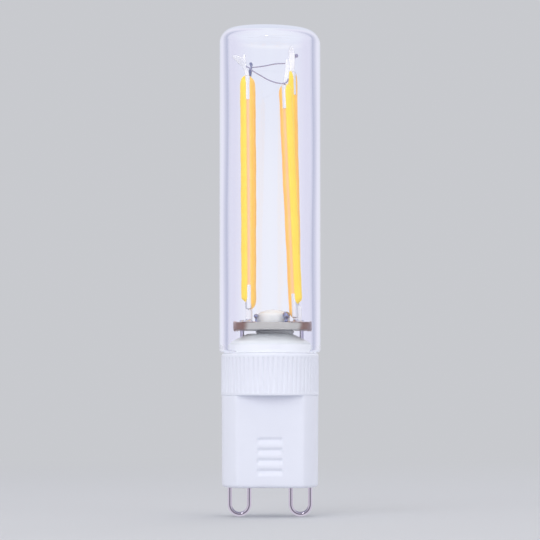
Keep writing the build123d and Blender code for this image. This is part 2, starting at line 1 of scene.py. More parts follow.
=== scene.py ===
"""Finishes for a clear two-pin LED capsule lamp: glass, housing, filaments, wires and stage.

Lengths are metres, written as millimetres times MM. New pieces are closed numpy surfaces whose
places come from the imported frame.
"""

import math

import bpy
import numpy as np
from bpy.props import FloatProperty, FloatVectorProperty, IntProperty, PointerProperty
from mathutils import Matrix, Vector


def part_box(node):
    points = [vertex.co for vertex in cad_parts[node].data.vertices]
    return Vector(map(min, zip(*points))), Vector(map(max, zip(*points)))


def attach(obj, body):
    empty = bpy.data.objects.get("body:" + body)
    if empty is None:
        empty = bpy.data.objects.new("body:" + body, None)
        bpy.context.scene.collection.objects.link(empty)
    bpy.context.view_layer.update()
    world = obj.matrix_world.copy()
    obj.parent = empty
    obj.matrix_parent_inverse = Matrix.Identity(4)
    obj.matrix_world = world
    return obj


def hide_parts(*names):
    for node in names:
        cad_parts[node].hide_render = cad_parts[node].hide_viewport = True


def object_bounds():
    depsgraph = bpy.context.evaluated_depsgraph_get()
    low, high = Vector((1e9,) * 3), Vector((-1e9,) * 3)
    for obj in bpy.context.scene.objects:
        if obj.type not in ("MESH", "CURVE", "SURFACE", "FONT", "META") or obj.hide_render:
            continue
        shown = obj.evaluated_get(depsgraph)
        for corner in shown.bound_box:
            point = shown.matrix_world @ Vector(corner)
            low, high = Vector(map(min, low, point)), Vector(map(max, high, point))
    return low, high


bl_info = {
    "name": "LED capsule lamp",
    "version": (1, 0, 0),
    "blender": (4, 5, 0),
    "location": "3D View > Sidebar > Lamp",
    "description": "Builds the finished pieces of a clear two-pin LED capsule lamp",
    "category": "Add Mesh",
}

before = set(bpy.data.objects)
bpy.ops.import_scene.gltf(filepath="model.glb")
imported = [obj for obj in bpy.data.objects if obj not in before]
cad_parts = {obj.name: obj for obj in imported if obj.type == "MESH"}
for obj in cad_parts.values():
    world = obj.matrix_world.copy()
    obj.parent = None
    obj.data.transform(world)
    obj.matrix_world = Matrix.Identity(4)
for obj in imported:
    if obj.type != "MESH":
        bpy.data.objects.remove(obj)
cad_low, cad_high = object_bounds()

MM = 0.001
CORNER_HANDLE = 0.5523
AXIS_GAP = 0.12 * MM
DEPTH_WAY = np.array([0.0, 1.0, 0.0])
FILAMENTS = ("front_left", "back_left", "front_right", "back_right")

# Noise scales of the shared surface effects: what drifts in colour and roughness, and what stands up
EFFECTS = {
    "Surface grain": {"drift": (420.0, 420.0, 420.0), "detail": 3.0, "height": (5200.0, 5200.0, 5200.0)},
    "Drawn lines": {"drift": (9000.0, 9000.0, 500.0), "detail": 2.0, "height": (9000.0, 9000.0, 500.0)},
}


# Sizes and colours a user may change


def length(name, description, millimetres):
    """A length setting, given in millimetres."""
    size = millimetres * MM
    return FloatProperty(name=name, description=description, default=size, unit="LENGTH", precision=5)


def colour(name, description, value):
    """A colour setting in linear red, green and blue."""
    return FloatVectorProperty(
        name=name, description=description, default=value, subtype="COLOR", min=0, max=1
    )


class LampGlass(bpy.types.PropertyGroup):
    """Sizes of the glass envelope."""

    wall: length("Wall", "Thickness of the tube", 1.2)
    crown: length("Crown", "Thickness of the closed end", 0.95)
    shoulder: length("Shoulder", "Outer rounding of the closed end", 2.0)
    inner_shoulder: length("Inner shoulder", "Inner rounding of the closed end", 0.9)
    rim: length("Rim", "Rounding of the open end", 0.42)
    rise: length("Rise", "How far the crown's middle stands over its edge", 0.42)
    ripple: length("Ripple", "Waviness of the bore", 0.012)
    drop: length("Drop", "How far the finished crown stays under the frame's top", 0.1)
    lean: FloatProperty(
        name="Lean", description="Tilt of the crown", default=math.radians(1.3), subtype="ANGLE"
    )
    tint: colour("Tint", "Colour of light that has crossed a surface", (0.985, 0.985, 1.0))
    trapped: colour("Trapped", "Colour of light reflected many times inside the wall", (0.72, 0.76, 0.90))


class LampHousing(bpy.types.PropertyGroup):
    """Sizes of the plastic housing."""

    shank: length("Shank", "Height of the plain part", 13.5)
    flat: length("Flat", "Distance of the flats from the axis", 5.2)
    draft: length("Draft", "How much narrower the foot is than the top", 0.085)
    step: length("Step", "How far the collar stands over the shank", 0.035)
    foot_round: length("Foot round", "Rounding of the foot edge", 0.5)
    top_round: length("Top round", "Rounding of the collar's top edge", 0.35)
    lip: length("Lip", "Plain band below the ribs", 0.45)
    band: length("Band", "Plain band above the ribs", 0.65)
    ribs: IntProperty(name="Ribs", description="Number of ribs round the collar", default=60, min=6)
    groove_depth: length("Groove depth", "Depth of the grooves between the ribs", 0.08)
    groove_width: length("Groove width", "Width of the grooves between the ribs", 0.40)
    notches: IntProperty(name="Notches", description="Grip notches in each flat", default=4, min=0)
    notch_top: length("Notch top", "Height of the highest notch", 7.5)
    notch_pitch: length("Notch pitch", "Step from notch to notch", 1.52)
    notch_height: length("Notch height", "Height of the ramp of a notch", 1.3)
    notch_width: length("Notch width", "Width of a notch", 4.0)
    notch_depth: length("Notch depth", "Depth of a notch at its top", 0.32)


class LampFilament(bpy.types.PropertyGroup):
    """Sizes of the four filaments and their links."""

    width: length("Width", "Width of the coating across both lobes", 1.94)
    depth: length("Depth", "Depth of the coating", 1.8)
    tip: length("Tip", "Length of the rounded tips", 1.7)
    waist: length("Waist", "Depth of the groove between the lobes", 0.24)
    waist_width: length("Waist width", "Half width of that groove", 0.20)
    crimp_length: length("Crimp length", "Length of the metal ends", 3.8)
    crimp_width: length("Crimp width", "Width of the metal ends", 1.70)
    crimp_thickness: length("Crimp thickness", "Thickness of the metal ends", 0.72)
    tongue: length("Tongue", "Thickness of the bent tongues", 0.25)
    link: length("Link", "Thickness of the link wires", 0.18)


class LampFinish(bpy.types.PropertyGroup):
    """Colours of the finishes."""

    plastic: colour("Plastic", "Housing and carrier", (0.81, 0.83, 0.93))
    white: colour("White", "Cap and carrier", (0.88, 0.93, 1.0))
    yellow: colour("Yellow", "Coating over the chips", (1.0, 0.70, 0.06))
    # Painted shade: this colour darkens the filament lobe that is turned from the light.
    shaded_orange: colour("Shaded orange", "Coating behind the strip", (1.0, 0.55, 0.12))
    seam: colour("Seam", "Coating in the groove between the lobes", (1.0, 0.56, 0.36))
    nickel: colour("Nickel", "Contact pins and leads", (0.64, 0.59, 0.68))
    dull: colour("Dull metal", "Link wires", (0.46, 0.43, 0.56))
    # Painted reflection: the dark bluish colour of the back left tongue stands in for the dim room it
    # reflects.
    dark_reflection: colour("Dark reflection", "Bluish tongue of the back left filament", (0.30, 0.32, 0.48))
    bright: colour("Bright metal", "Filament ends", (0.97, 0.97, 1.0))
    # Painted reflection: the filament ends are mixed towards this near black where their skin turns away from
    # the camera.
    turned: colour("Painted dark edge", "Filament ends where they turn away", (0.05, 0.05, 0.10))
    laminate: colour("Laminate", "Edge and face of the filament board", (0.52, 0.51, 0.50))
    burnt: colour("Burnt", "Plated ends of the filament board", (0.20, 0.085, 0.06))
    pale_burnt: colour("Pale burnt", "Brighter patches of the plated ends", (0.62, 0.46, 0.42))


class LampStage(bpy.types.PropertyGroup):
    """Backdrop, light levels and camera."""

    backdrop: colour("Backdrop", "Colour behind the lamp", (0.58, 0.59, 0.62))
    through: colour("Through glass", "Backdrop straight behind clear pieces", (0.91, 0.93, 1.0))
    high: colour("High", "Backdrop behind clear pieces above the camera", (0.84, 0.87, 0.97))
    slant: colour("Slant", "Backdrop that clear pieces bend in from near the middle", (0.80, 0.79, 0.93))
    beside: colour("Beside glass", "Surroundings that clear pieces bend in from the side", (0.46, 0.48, 0.64))
    shine: colour("Shine", "Surroundings that polished pieces reflect", (0.92, 0.92, 0.96))
    front_shine: colour("Front shine", "Dim room in front of the lamp", (0.20, 0.18, 0.24))
    back_shine: colour("Back shine", "Backdrop that polished pieces reflect", (0.62, 0.62, 0.68))
    ambient: colour("Ambient", "Light from all round", (0.66, 0.66, 0.68))
    lens: FloatProperty(
        name="Lens", description="Focal length in millimetres", default=180.0, subtype="DISTANCE_CAMERA"
    )
    distance: length("Distance", "Camera distance from the axis", 400.0)
    eye: length("Eye", "Camera height over the housing's foot", 12.9)
    aim: length("Aim", "Height the camera looks at", 32.1)


# Surfaces as functions of two parameters


def unit(vectors):
    """Vectors of length one."""
    return vectors / np.linalg.norm(vectors, axis=-1, keepdims=True)


def eased(value):
    """0 below 0, 1 above 1, and an even S between them."""
    t = np.clip(value, 0.0, 1.0)
    return t * t * (3.0 - 2.0 * t)


def full_turn(count):
    """Angles of a whole turn, evenly spaced."""
    return np.linspace(0.0, 2.0 * np.pi, count, endpoint=False)


def signed_power(value, power):
    """A power of the size of a value, with the value's own sign."""
    return np.sign(value) * np.abs(value) ** power


def divided(outline, longest):
    """The same outline with points no further apart than the longest step."""
    gaps = np.linalg.norm(np.diff(outline, axis=0), axis=1)
    counts = np.maximum(1, np.ceil(gaps / longest)).astype(int)
    stretch = np.repeat(np.arange(len(gaps)), counts)
    first = np.repeat(np.cumsum(counts) - counts, counts)
    share = ((np.arange(len(stretch)) - first) / counts[stretch])[:, None]
    points = outline[stretch] * (1.0 - share) + outline[stretch + 1] * share
    return np.concatenate([points, outline[-1:]])


def soft_outline(corners, rounds, longest=1.0 * MM, steps=8):
    """Outline through corners; each inner one is a cubic from its round before it to its round after it."""
    points = np.asarray(corners, float)
    cut = np.asarray(rounds, float)[:, None]
    here = points[1:-1]
    start = here + cut * unit(points[:-2] - here)
    end = here + cut * unit(points[2:] - here)
    first_handle = start + CORNER_HANDLE * (here - start)
    last_handle = end + CORNER_HANDLE * (here - end)
    s = np.linspace(0.0, 1.0, steps)[None, :, None]
    curve = (1 - s) ** 3 * start[:, None] + 3 * s * (1 - s) ** 2 * first_handle[:, None]
    curve = curve + 3 * s**2 * (1 - s) * last_handle[:, None] + s**3 * end[:, None]
    return divided(np.concatenate([points[:1], curve.reshape(-1, 2), points[-1:]]), longest)


def turned(outline, columns, centre=(0.0, 0.0)):
    """Each outline point (r, z) becomes a ring: x = cx + r cos a, y = cy + r sin a, z."""
    angle = full_turn(columns)
    radius, height = outline[:, :1], outline[:, 1:]
    x = centre[0] + radius * np.cos(angle)
    y = centre[1] + radius * np.sin(angle)
    return np.stack([x, y, np.broadcast_to(height, x.shape)], axis=-1)


def smooth_route(stops, count):
    """Curve through given stops; each stretch is a cubic set by its ends and their neighbours."""
    stops = np.asarray(stops, float)
    place = np.linspace(0.0, len(stops) - 1.0, count)
    step = np.minimum(place.astype(int), len(stops) - 2)
    t = (place - step)[:, None]
    padded = np.concatenate([2 * stops[:1] - stops[1:2], stops, 2 * stops[-1:] - stops[-2:-1]])
    before, start, end, after = (padded[step + offset] for offset in range(4))
    bend = 2 * before - 5 * start + 4 * end - after
    swing = 3 * start - before - 3 * end + after
    return 0.5 * (2 * start + (end - before) * t + bend * t**2 + swing * t**3)


def swept(route, across, through, twist=0.0, columns=24, squareness=2.0):
    """A rounded-box section carried along a route.

    Point = route + across * c(a) * side + through * s(a) * depth, with side and depth square to the
    route and turned by the twist, and c, s the signed powers of cosine and sine by the squareness.
    """
    along = unit(np.gradient(route, axis=0))
    side = unit(np.cross(along, DEPTH_WAY))
    depth = np.cross(side, along)
    turn = np.broadcast_to(twist, len(route))[:, None]
    side, depth = np.cos(turn) * side + np.sin(turn) * depth, np.cos(turn) * depth - np.sin(turn) * side
    angle = full_turn(columns)
    c, s = (signed_power(wave, 2.0 / squareness) for wave in (np.cos(angle), np.sin(angle)))
    half_across = np.broadcast_to(across, len(route))[:, None, None]
    half_through = np.broadcast_to(through, len(route))[:, None, None]
    reach = half_across * c[None, :, None] * side[:, None] + half_through * s[None, :, None] * depth[:, None]
    return route[:, None] + reach


def rounded_ends(count, share=0.12):
    """1 along a piece, falling to a small share at both ends as a quarter circle does."""
    place = np.linspace(0.0, 1.0, count)
    near_end = np.clip(np.minimum(place, 1.0 - place) / share, 0.0, 1.0)
    return np.maximum(np.sqrt(1.0 - (1.0 - near_end) ** 2), 0.15)


# Meshes


def skin_faces(rows, columns, ring):
    """Corner numbers of a skin's quads, and of the fans that close its two ends unless it is a ring."""
    low = np.arange(rows if ring else rows - 1)[:, None]
    high = (low + 1) % rows
    near = np.arange(columns)[None, :]
    far = (near + 1) % columns
    corners = [low * columns + near, low * columns + far, high * columns + far, high * columns + near]
    quads = np.stack(corners, axis=-1).reshape(-1, 4)
    if ring:
        return quads, np.zeros((0, 3), int)
    near, far = near[0], far[0]
    last = (rows - 1) * columns
    foot = np.stack([far, near, np.full(columns, rows * columns)], axis=1)
    head = np.stack([last + near, last + far, np.full(columns, rows * columns + 1)], axis=1)
    return quads, np.concatenate([foot, head])


def signed_volume(points, quads, triangles):
    """Sum of a . (b x c) over all triangles: positive when the faces look outwards."""
    corners = np.concatenate([quads[:, [0, 1, 2]], quads[:, [0, 2, 3]], triangles])
    a, b, c = (points[corners[:, k], :3] for k in range(3))
    return float(np.sum(a * np.cross(b, c)))


def closed_skin(points, ring=False):
    """Vertices and outward faces of one skin given as rows x columns x channels."""
    rows, columns = points.shape[:2]
    vertices = points.reshape(rows * columns, -1)
    if not ring:
        vertices = np.concatenate([vertices, points[0].mean(axis=0)[None], points[-1].mean(axis=0)[None]])
    quads, triangles = skin_faces(rows, columns, ring)
    if signed_volume(vertices, quads, triangles) < 0:
        quads, triangles = quads[:, ::-1], triangles[:, ::-1]
    return vertices, quads, triangles


def placed(name, data):
    """A new object of the scene."""
    made = bpy.data.objects.new(name, data)
    bpy.context.scene.collection.objects.link(made)
    return made


def add_piece(name, skins, finish, replaced, sharp=40.0, marks=()):
    """One object from closed skins; channels after the third become the named point attributes."""
    vertices, quads, triangles, count = [], [], [], 0
    for points, four, three in skins:
        vertices.append(points)
        quads.append(four + count)
        triangles.append(three + count)
        count += len(points)
    vertices, quads, triangles = (np.concatenate(group) for group in (vertices, quads, triangles))
    mesh = bpy.data.meshes.new(name)
    mesh.vertices.add(len(vertices))
    mesh.vertices.foreach_set("co", vertices[:, :3].astype(np.float32).ravel())
    corners = np.concatenate([quads.ravel(), triangles.ravel()]).astype(np.int32)
    sides = np.concatenate([np.full(len(quads), 4), np.full(len(triangles), 3)])
    mesh.loops.add(len(corners))
    mesh.loops.foreach_set("vertex_index", corners)
    mesh.polygons.add(len(sides))
    mesh.polygons.foreach_set("loop_start", (np.cumsum(sides) - sides).astype(np.int32))
    mesh.update(calc_edges=True)
    mesh.validate()
    for index, mark in enumerate(marks):
        attribute = mesh.attributes.new(mark, "FLOAT", "POINT")
        attribute.data.foreach_set("value", vertices[:, 3 + index].astype(np.float32))
    mesh.shade_smooth()
    mesh.set_sharp_from_angle(angle=math.radians(sharp))
    mesh.materials.append(finish)
    piece = placed(name, mesh)
    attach(piece, "root")
    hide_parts(replaced)
    return piece


def dress(node, finish):
    """Gives a CAD node its finish."""
    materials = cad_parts[node].data.materials
    materials.clear()
    materials.append(finish)


# Node groups and materials


def add_node(tree, kind, settings=(), **inputs):
    """A node with its settings and plain input values."""
    made = tree.nodes.new(kind)
    for key, value in dict(settings).items():
        setattr(made, key, value)
    for key, value in inputs.items():
        made.inputs[key.replace("_", " ")].default_value = value
    return made


def group_tree(name, inputs, outputs):
    """An empty shader node group with its sockets, its input node and its output node."""
    tree = bpy.data.node_groups.new(name, "ShaderNodeTree")
    for label, kind in inputs:
        tree.interface.new_socket(label, in_out="INPUT", socket_type=kind)
    for label, kind in outputs:
        tree.interface.new_socket(label, in_out="OUTPUT", socket_type=kind)
    return tree, tree.nodes.new("NodeGroupInput"), tree.nodes.new("NodeGroupOutput")


def feed(tree, socket, value):
    """Gives a socket a link from another socket, or a plain value."""
    if isinstance(value, bpy.types.NodeSocket):
        tree.links.new(value, socket)
    else:
        socket.default_value = value


def mixed(tree, factor, first, second, blend="MIX"):
    """Colour mix of two sockets or plain colours."""
    made = tree.nodes.new("ShaderNodeMix")
    made.data_type = "RGBA"
    made.blend_type = blend
    for place, value in ((0, factor), (6, first), (7, second)):
        feed(tree, made.inputs[place], value)
    return made.outputs[2]


def maths(tree, operation, *values):
    """Result of a Math node on sockets or plain numbers."""
    made = tree.nodes.new("ShaderNodeMath")
    made.operation = operation
    for socket, value in zip(made.inputs, values):
        feed(tree, socket, value)
    return made.outputs[0]


def mixed_shader(tree, factor, first, second):
    """Mix of two shader outputs by a socket."""
    made = tree.nodes.new("ShaderNodeMixShader")
    for socket, value in zip(made.inputs, (factor, first, second)):
        tree.links.new(value, socket)
    return made.outputs[0]


def raised(tree, height, strength, distance):
    """Normal of a surface whose height is a socket."""
    relief = add_node(tree, "ShaderNodeBump", Strength=strength, Distance=distance)
    tree.links.new(height, relief.inputs["Height"])
    return relief.outputs[0]


def stretched_noise(tree, scale, detail=3.0):
    """Noise over Object coordinates, scaled by a plain vector."""
    where = tree.nodes.new("ShaderNodeTexCoord")
    mapping = add_node(tree, "ShaderNodeMapping")
    mapping.inputs["Scale"].default_value = scale
    noise = add_node(tree, "ShaderNodeTexNoise", Scale=1.0, Detail=detail, Roughness=0.55)
    tree.links.new(where.outputs["Object"], mapping.inputs["Vector"])
    tree.links.new(mapping.outputs[0], noise.inputs["Vector"])
    return noise.outputs[0]


def smooth_band(tree, value, start, end):
    """Share from 0 at the start to 1 at the end of a band of values, as an even S."""
    band = add_node(tree, "ShaderNodeMapRange", From_Min=start, From_Max=end)
    band.interpolation_type = "SMOOTHSTEP"
    tree.links.new(value, band.inputs["Value"])
    return band.outputs[0]


def surface_group(name):
    """Moulded grain or drawn lines: a noise shifts colour and roughness, and another is the height."""
    tree, given, made = group_tree(
        name,
        [("Colour", "NodeSocketColor"), ("Amount", "NodeSocketFloat"), ("Roughness", "NodeSocketFloat")],
        [("Colour", "NodeSocketColor"), ("Roughness", "NodeSocketFloat"), ("Height", "NodeSocketFloat")],
    )
    effect = EFFECTS[name]
    centred = maths(tree, "SUBTRACT", stretched_noise(tree, effect["drift"], effect["detail"]), 0.5)
    drift = maths(tree, "MULTIPLY_ADD", centred, given.outputs["Amount"], 1.0)
    level = tree.nodes.new("ShaderNodeCombineColor")
    for socket in level.inputs:
        tree.links.new(drift, socket)
    results = {
        "Colour": mixed(tree, 1.0, given.outputs["Colour"], level.outputs[0], "MULTIPLY"),
        "Roughness": maths(tree, "MULTIPLY", given.outputs["Roughness"], drift),
        "Height": stretched_noise(tree, effect["height"], 2.0),
    }
    for label, result in results.items():
        tree.links.new(result, made.inputs[label])
    return tree


def backdrop_group(name):
    """Backdrop colour by the kind of ray that meets it."""
    rays = [(f"{kind} ray", "NodeSocketFloat") for kind in ("Camera", "Glossy", "Transmission")]
    colours = [(label, "NodeSocketColor") for label in ("Shine", "Through")]
    tree, given, made = group_tree(name, rays + colours, [("Colour", "NodeSocketColor")])
    stage = bpy.context.scene.lamp_stage
    result = mixed(tree, given.outputs["Glossy ray"], (*stage.ambient, 1), given.outputs["Shine"])
    result = mixed(tree, given.outputs["Transmission ray"], result, given.outputs["Through"])
    result = mixed(tree, given.outputs["Camera ray"], result, (*stage.backdrop, 1))
    tree.links.new(result, made.inputs["Colour"])
    return tree


def room_group(name):
    """Room colours by direction from the camera: dim behind it, darker beside what it sees through glass."""
    tree, given, made = group_tree(
        name,
        [("Direction", "NodeSocketVector")],
        [("Shine", "NodeSocketColor"), ("Through", "NodeSocketColor")],
    )
    stage = bpy.context.scene.lamp_stage
    seen = add_node(tree, "ShaderNodeVectorTransform", {"convert_from": "WORLD", "convert_to": "CAMERA"})
    parts = tree.nodes.new("ShaderNodeSeparateXYZ")
    tree.links.new(given.outputs["Direction"], seen.inputs[0])
    tree.links.new(seen.outputs[0], parts.inputs[0])
    ahead, up = parts.outputs["Z"], parts.outputs["Y"]
    turned_off = maths(tree, "ABSOLUTE", parts.outputs["X"])
    bands = {
        "front": (ahead, -0.80, -0.95),
        "back": (ahead, 0.75, 0.98),
        "high": (up, 0.02, 0.08),
        "slant": (turned_off, 0.02, 0.22),
        "side": (turned_off, 0.30, 0.80),
    }
    share = {part: smooth_band(tree, *band) for part, band in bands.items()}
    shine = mixed(tree, share["back"], (*stage.shine, 1), (*stage.back_shine, 1))
    shine = mixed(tree, share["front"], shine, (*stage.front_shine, 1))
    through = mixed(tree, share["high"], (*stage.through, 1), (*stage.high, 1))
    through = mixed(tree, share["slant"], through, (*stage.slant, 1))
    through = mixed(tree, share["side"], through, (*stage.beside, 1))
    tree.links.new(shine, made.inputs["Shine"])
    tree.links.new(through, made.inputs["Through"])
    return tree


def kept_group(name, build):
    """A node group that is built once and then found by its name."""
    return bpy.data.node_groups.get(name) or build(name)


def principled(name, **values):
    """A material with plain values on its Principled shader."""
    material = bpy.data.materials.new(name)
    material.use_nodes = True
    shader = material.node_tree.nodes["Principled BSDF"]
    for key, value in values.items():
        shader.inputs[key.replace("_", " ")].default_value = value
    return material, shader


def textured(effect, name, base, amount, roughness, bump, bump_height=0.02 * MM, **values):
    """A material whose colour, roughness and height come from a surface effect."""
    material, shader = principled(name, **values)
    tree = material.node_tree
    surface = tree.nodes.new("ShaderNodeGroup")
    surface.name = "Surface"
    surface.node_tree = kept_group(effect, surface_group)
    given = {"Colour": (*base, 1), "Amount": amount, "Roughness": roughness}
    for label, value in given.items():
        surface.inputs[label].default_value = value
    tree.links.new(surface.outputs["Colour"], shader.inputs["Base Color"])
    tree.links.new(surface.outputs["Roughness"], shader.inputs["Roughness"])
    tree.links.new(raised(tree, surface.outputs["Height"], bump, bump_height), shader.inputs["Normal"])
    return material


def grained(name, base, drift=0.06, roughness=0.45, bump=0.15, **values):
    """A moulded, ceramic or resin finish."""
    return textured("Surface grain", name, base, drift, roughness, bump, **values)


def drawn(name, base, depth=0.2, roughness=0.22, bump=0.1, metallic=1.0):
    """A metal finish with drawing lines."""
    return textured("Drawn lines", name, base, depth, roughness, bump, Metallic=metallic)


def kept_finish(name, build):
    """A finish that is built once and then found by its name."""
    return bpy.data.materials.get(name) or build(name)


def light_passes(material, shader):
    """Lets shadow and diffuse rays through a clear shader, and ends rays trapped in it in a pale colour."""
    tree = material.node_tree
    rays = tree.nodes.new("ShaderNodeLightPath")
    clear = tree.nodes.new("ShaderNodeBsdfTransparent")
    trapped = tree.nodes.new("ShaderNodeEmission")
    trapped.inputs["Color"].default_value = (*bpy.context.scene.lamp_glass.trapped, 1)
    soft = maths(tree, "MAXIMUM", rays.outputs["Is Shadow Ray"], rays.outputs["Is Diffuse Ray"])
    deep = maths(tree, "GREATER_THAN", rays.outputs["Glossy Depth"], 1.5)
    surface = mixed_shader(tree, deep, shader.outputs[0], trapped.outputs[0])
    surface = mixed_shader(tree, soft, surface, clear.outputs[0])
    tree.links.new(surface, tree.nodes["Material Output"].inputs["Surface"])
    material.cycles.emission_sampling = "NONE"


def glass_finish(name):
    """Clear glass with a trace of violet."""
    tint = (*bpy.context.scene.lamp_glass.tint, 1)
    material, shader = principled(name, Base_Color=tint, Roughness=0.0, IOR=1.49, Transmission_Weight=1.0)
    light_passes(material, shader)
    return material


def resin_finish(name):
    """Milky resin of the bead, which light soaks into."""
    material, shader = principled(
        name,
        Base_Color=(0.93, 0.95, 1, 1),
        Roughness=0.04,
        IOR=1.45,
        Transmission_Weight=0.15,
        Subsurface_Weight=0.8,
        Subsurface_Scale=2.0 * MM,
        Subsurface_Radius=(1.0, 1.0, 1.0),
    )
    light_passes(material, shader)
    return material


def plastic_finish(name):
    """Bluish white moulded plastic."""
    base = tuple(bpy.context.scene.lamp_finish.plastic)
    return grained(name, base, drift=0.03, roughness=0.38, bump=0.08)


def white_finish(name):
    """Glossy white plastic of the cap and the carrier, which light soaks into."""
    soaked = {"Subsurface_Weight": 0.6, "Subsurface_Scale": 2.5 * MM, "Subsurface_Radius": (1.0, 1.0, 1.0)}
    return grained(name, tuple(bpy.context.scene.lamp_finish.white), 0.03, 0.25, 0.05, **soaked)


def phosphor_finish(name):
    """Coating colour from its marks: yellow over the chips, painted shade (shaded_orange) on the other lobe,
    pinkish in the groove.
    """
    finish = bpy.context.scene.lamp_finish
    material = grained(name, tuple(finish.yellow), 0.10, 0.36, 0.2, bump_height=0.03 * MM)
    tree = material.node_tree
    shader, surface = tree.nodes["Principled BSDF"], tree.nodes["Surface"]
    lobe = add_node(tree, "ShaderNodeAttribute", {"attribute_name": "lobe"})
    groove = add_node(tree, "ShaderNodeAttribute", {"attribute_name": "groove"})
    # Painted shade: the lobe turned from the light is mixed towards the shaded_orange colour instead of
    # yellow.
    side = smooth_band(tree, lobe.outputs["Fac"], -1.0, 0.6)
    lobes = mixed(tree, side, (*finish.shaded_orange, 1), (*finish.yellow, 1))
    base = mixed(tree, groove.outputs["Fac"], lobes, (*finish.seam, 1))
    tree.links.new(base, surface.inputs["Colour"])
    tree.links.new(surface.outputs["Colour"], shader.inputs["Emission Color"])
    faint_glow = 0.16
    shader.inputs["Emission Strength"].default_value = faint_glow
    return material


def board_finish(name):
    """Grey laminate whose two ends are plated and browned, by distance from the middle."""
    finish = bpy.context.scene.lamp_finish
    material, shader = principled(name, Roughness=0.42)
    tree = material.node_tree
    middle, plating_start, plating_full, raggedness = 0.4 * MM, 3.3 * MM, 4.2 * MM, 0.9 * MM
    where = tree.nodes.new("ShaderNodeTexCoord")
    parts = tree.nodes.new("ShaderNodeSeparateXYZ")
    tree.links.new(where.outputs["Object"], parts.inputs[0])
    noise = stretched_noise(tree, (900.0, 900.0, 900.0))
    ragged = maths(tree, "MULTIPLY_ADD", noise, raggedness, -raggedness / 2)
    from_middle = maths(tree, "ABSOLUTE", maths(tree, "SUBTRACT", parts.outputs["X"], middle))
    end = smooth_band(tree, maths(tree, "ADD", from_middle, ragged), plating_start, plating_full)
    base = mixed(tree, end, (*finish.laminate, 1), (*finish.burnt, 1))
    tree.links.new(base, shader.inputs["Base Color"])
    return material


# Places read from the frame


def box(node):
    """Corners of a CAD node as arrays."""
    low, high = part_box(node)
    return np.array(low), np.array(high)


def round_box(node):
    """Foot, top, centre and radius of a round CAD node."""
    low, high = box(node)
    return low[2], high[2], ((low[0] + high[0]) / 2, 0.0), (high[0] - low[0]) / 2


def filament_frame(name, lift=0.0):
    """Foot, head, and the across, wide and along directions of a filament, from its substrate's corners.

    The lift raises both ends.
    """
    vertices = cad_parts[f"filament_{name}_substrate"].data.vertices
    corners = np.unique(np.round([tuple(vertex.co) for vertex in vertices], 7), axis=0)
    order = corners[np.argsort(corners[:, 2])]
    low, high = order[:4], order[4:]
    along = unit(high.mean(axis=0) - low.mean(axis=0))
    spans = low - low[0]
    wide = unit(spans[np.argsort(np.linalg.norm(spans, axis=1))[2]])
    wide = wide * np.sign(wide[1])
    substrate_inset = 0.5 * MM
    rise = np.array([0.0, 0.0, lift])
    foot = low.mean(axis=0) - along * substrate_inset + rise
    head = high.mean(axis=0) + along * substrate_inset + rise
    return foot, head, np.cross(wide, along), wide, along


# Operators


class LAMP_OT_housing(bpy.types.Operator):
    """Builds the plastic housing with its ribs, flats and grip notches"""

    bl_idname = "lamp.housing"
    bl_label = "Housing"

    def execute(self, context):
        sizes = context.scene.lamp_housing
        finish = kept_finish("Moulded plastic", plastic_finish)
        skin = closed_skin(housing_points(sizes))
        add_piece("housing_shell", [skin], finish, "base_housing", sharp=50.0)
        return {"FINISHED"}


def housing_rows(sizes):
    """Rows of the housing from the foot's centre over the outside and the mouth to the cavity's floor.

    Each row is: height, radius, distance of the flats, share of groove depth, share of notch use.
    """
    collar, _, top = box("base_housing")[1]
    no_flat = 10 * collar
    shank_top = collar - sizes.step
    shank_foot = shank_top - sizes.draft
    bend = np.linspace(0.0, np.pi / 2, 7)
    rows = [(0.0, AXIS_GAP, no_flat, 0, 0), (0.0, shank_foot * 0.6, sizes.flat * 0.6, 0, 0)]
    for turn in bend:
        rise = sizes.foot_round * (1.0 - np.cos(turn))
        inset = sizes.foot_round * (1.0 - np.sin(turn))
        rows.append((rise, shank_foot - inset, sizes.flat - inset, 0, 0))
    tops = sizes.notch_top - sizes.notch_pitch * np.arange(sizes.notches)
    notch_heights = (tops[:, None] + np.linspace(-1.1, 0.15, 21) * sizes.notch_height).ravel()
    plain_heights = np.linspace(sizes.foot_round, sizes.shank, 9)[1:]
    for height in np.unique(np.round(np.concatenate([notch_heights, plain_heights]), 7)):
        radius = shank_foot + sizes.draft * height / sizes.shank
        rows.append((height, radius, sizes.flat, 0, 1))
    edge = 0.08 * MM
    rows += [
        (sizes.shank, collar - edge, no_flat, 0, 0),
        (sizes.shank + 0.3 * edge, collar - 0.3 * edge, no_flat, 0, 0),
        (sizes.shank + edge, collar, no_flat, 0, 0),
    ]
    rib_low, rib_high = sizes.shank + sizes.lip, top - sizes.band
    run = 0.1 * MM
    for height, share in ((0, 0), (0.5, 0.7), (1, 1)):
        rows.append((rib_low + height * run, collar, no_flat, share, 0))
    for height, share in ((1, 1), (0.5, 0.7), (0, 0)):
        rows.append((rib_high - height * run, collar, no_flat, share, 0))
    for turn in bend:
        radius = collar - sizes.top_round * (1.0 - np.cos(turn))
        rows.append((top - sizes.top_round * (1.0 - np.sin(turn)), radius, no_flat, 0, 0))
    wall = 0.72 * MM
    bore = collar - 0.85 * MM
    ledge = box("filament_carrier")[0][2]
    floor = 2.0 * MM
    cavity, cavity_flat = shank_foot - wall, sizes.flat - wall
    rows += [
        (top, bore + 0.1 * MM, no_flat, 0, 0),
        (top - 0.1 * MM, bore, no_flat, 0, 0),
        (ledge, bore, no_flat, 0, 0),
        (ledge, cavity, cavity_flat, 0, 0),
        (floor, cavity, cavity_flat, 0, 0),
        (floor, AXIS_GAP, no_flat, 0, 0),
    ]
    return np.array(rows), tops


